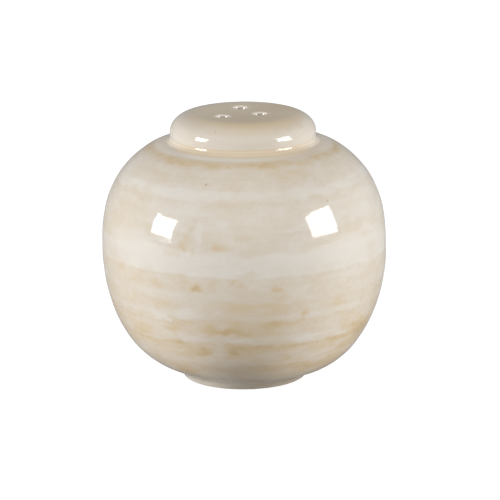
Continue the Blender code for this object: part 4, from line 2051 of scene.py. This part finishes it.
    def floor_colours(self, canvas: NodeCanvas) -> tuple[Socket, Socket]:
        """Colours of the floor that the camera doesn't see, with painted shadow near the foot and in front.

        Args:
            canvas: Where to draw.

        Returns:
            The colour for plain light, and the one that the glaze mirrors.
        """
        spot = canvas.add("ShaderNodeTexCoord").outputs["Object"]
        aside = canvas.facing(canvas.vector("NORMALIZE", spot).outputs[0], FRONT)
        distance = canvas.vector("LENGTH", spot).outputs[1]
        far = canvas.step(distance, *self.near_reach, self.near_share, 1.0)
        front = canvas.step(aside, *self.front_edge)
        plain = canvas.blend_colours(front, self.floor_colour, self.floor_front_shade)
        turned = [(math.cos(math.radians(turn)), shade) for turn, shade in reversed(self.mirrored_shade)]
        stops = [((1 + facing) / 2, thrice(shade)) for facing, shade in turned]
        mirrored = canvas.ramp(canvas.line(aside, 0.5, 0.5), stops, "LINEAR")
        plain_shadow, mirrored_shadow = (thrice(level) for level in self.floor_painted_shadow)
        plain = canvas.blend_colours(far, plain_shadow, plain)
        return plain, canvas.blend_colours(far, mirrored_shadow, mirrored)

    def paint_room(self) -> bpy.types.World:
        """Fills the room with soft light, a little more of it from the viewer's side.

        Returns:
            The world.
        """
        world = bpy.data.worlds.new("studio_room")
        bpy.context.scene.world = world
        world.use_nodes = True
        canvas = NodeCanvas(world.node_tree)
        background = world.node_tree.nodes["Background"]
        towards = canvas.add("ShaderNodeTexCoord").outputs["Generated"]
        facing = canvas.facing(towards, tuple(self.direction(0.0, self.room_elevation)))
        strength = canvas.step(facing, *self.room_turn, self.room_dim, self.room_bright)
        canvas.wire(background.inputs["Strength"], strength)
        canvas.wire(background.inputs["Color"], opaque(thrice(1.0)))
        return world

    def set_camera(self) -> bpy.types.Object:
        """Sets up the camera at the photograph's angle.

        Returns:
            The camera.
        """
        data = bpy.data.cameras.new("photo_camera")
        data.lens = self.camera_lens
        data.clip_start, data.clip_end = self.camera_clip
        camera = bpy.data.objects.new("photo_camera", data)
        towards = self.direction(0.0, self.camera_elevation)
        place = Matrix.Translation(self.camera_target + towards * self.camera_distance)
        turn = Matrix.Rotation(RIGHT_ANGLE - math.radians(self.camera_elevation), 4, "X")
        roll = Matrix.Rotation(math.radians(self.camera_roll), 4, "Z")
        camera.matrix_world = place @ turn @ roll
        bpy.context.scene.collection.objects.link(camera)
        bpy.context.scene.camera = camera
        return camera

    def build(self) -> None:
        """Sets up the whole studio and the plain view of colours."""
        for box in self.softboxes:
            self.hang_softbox(box)
        self.lay_floor()
        self.paint_room()
        self.set_camera()
        bpy.context.scene.view_settings.view_transform = "Standard"


def main() -> None:
    """Loads the frame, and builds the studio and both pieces."""
    logging.basicConfig(level=logging.INFO, format="%(name)s: %(message)s")
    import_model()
    low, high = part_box(CadNode.CERAMIC.value)
    Studio().build()
    log.info("studio ready")
    effects = SharedEffects()

    shell = GlazedShell(radius=(high.x - low.x) / 2, cap_top=high.z)
    body = shell.build()
    shell.dress(body, effects, ReactiveGlaze())
    log.info("%s: %d faces", body.name, len(body.data.polygons))

    stopper = BaseStopper(
        seat=shell.seat_height,
        fill_radius=shell.fill_radius,
        base_thickness=shell.base_thickness,
        recess_radius=shell.recess_radius,
    )
    plug = stopper.build()
    stopper.dress(plug, effects, SoftRubber())
    log.info("%s: %d faces", plug.name, len(plug.data.polygons))


if __name__ == "__main__":
    main()
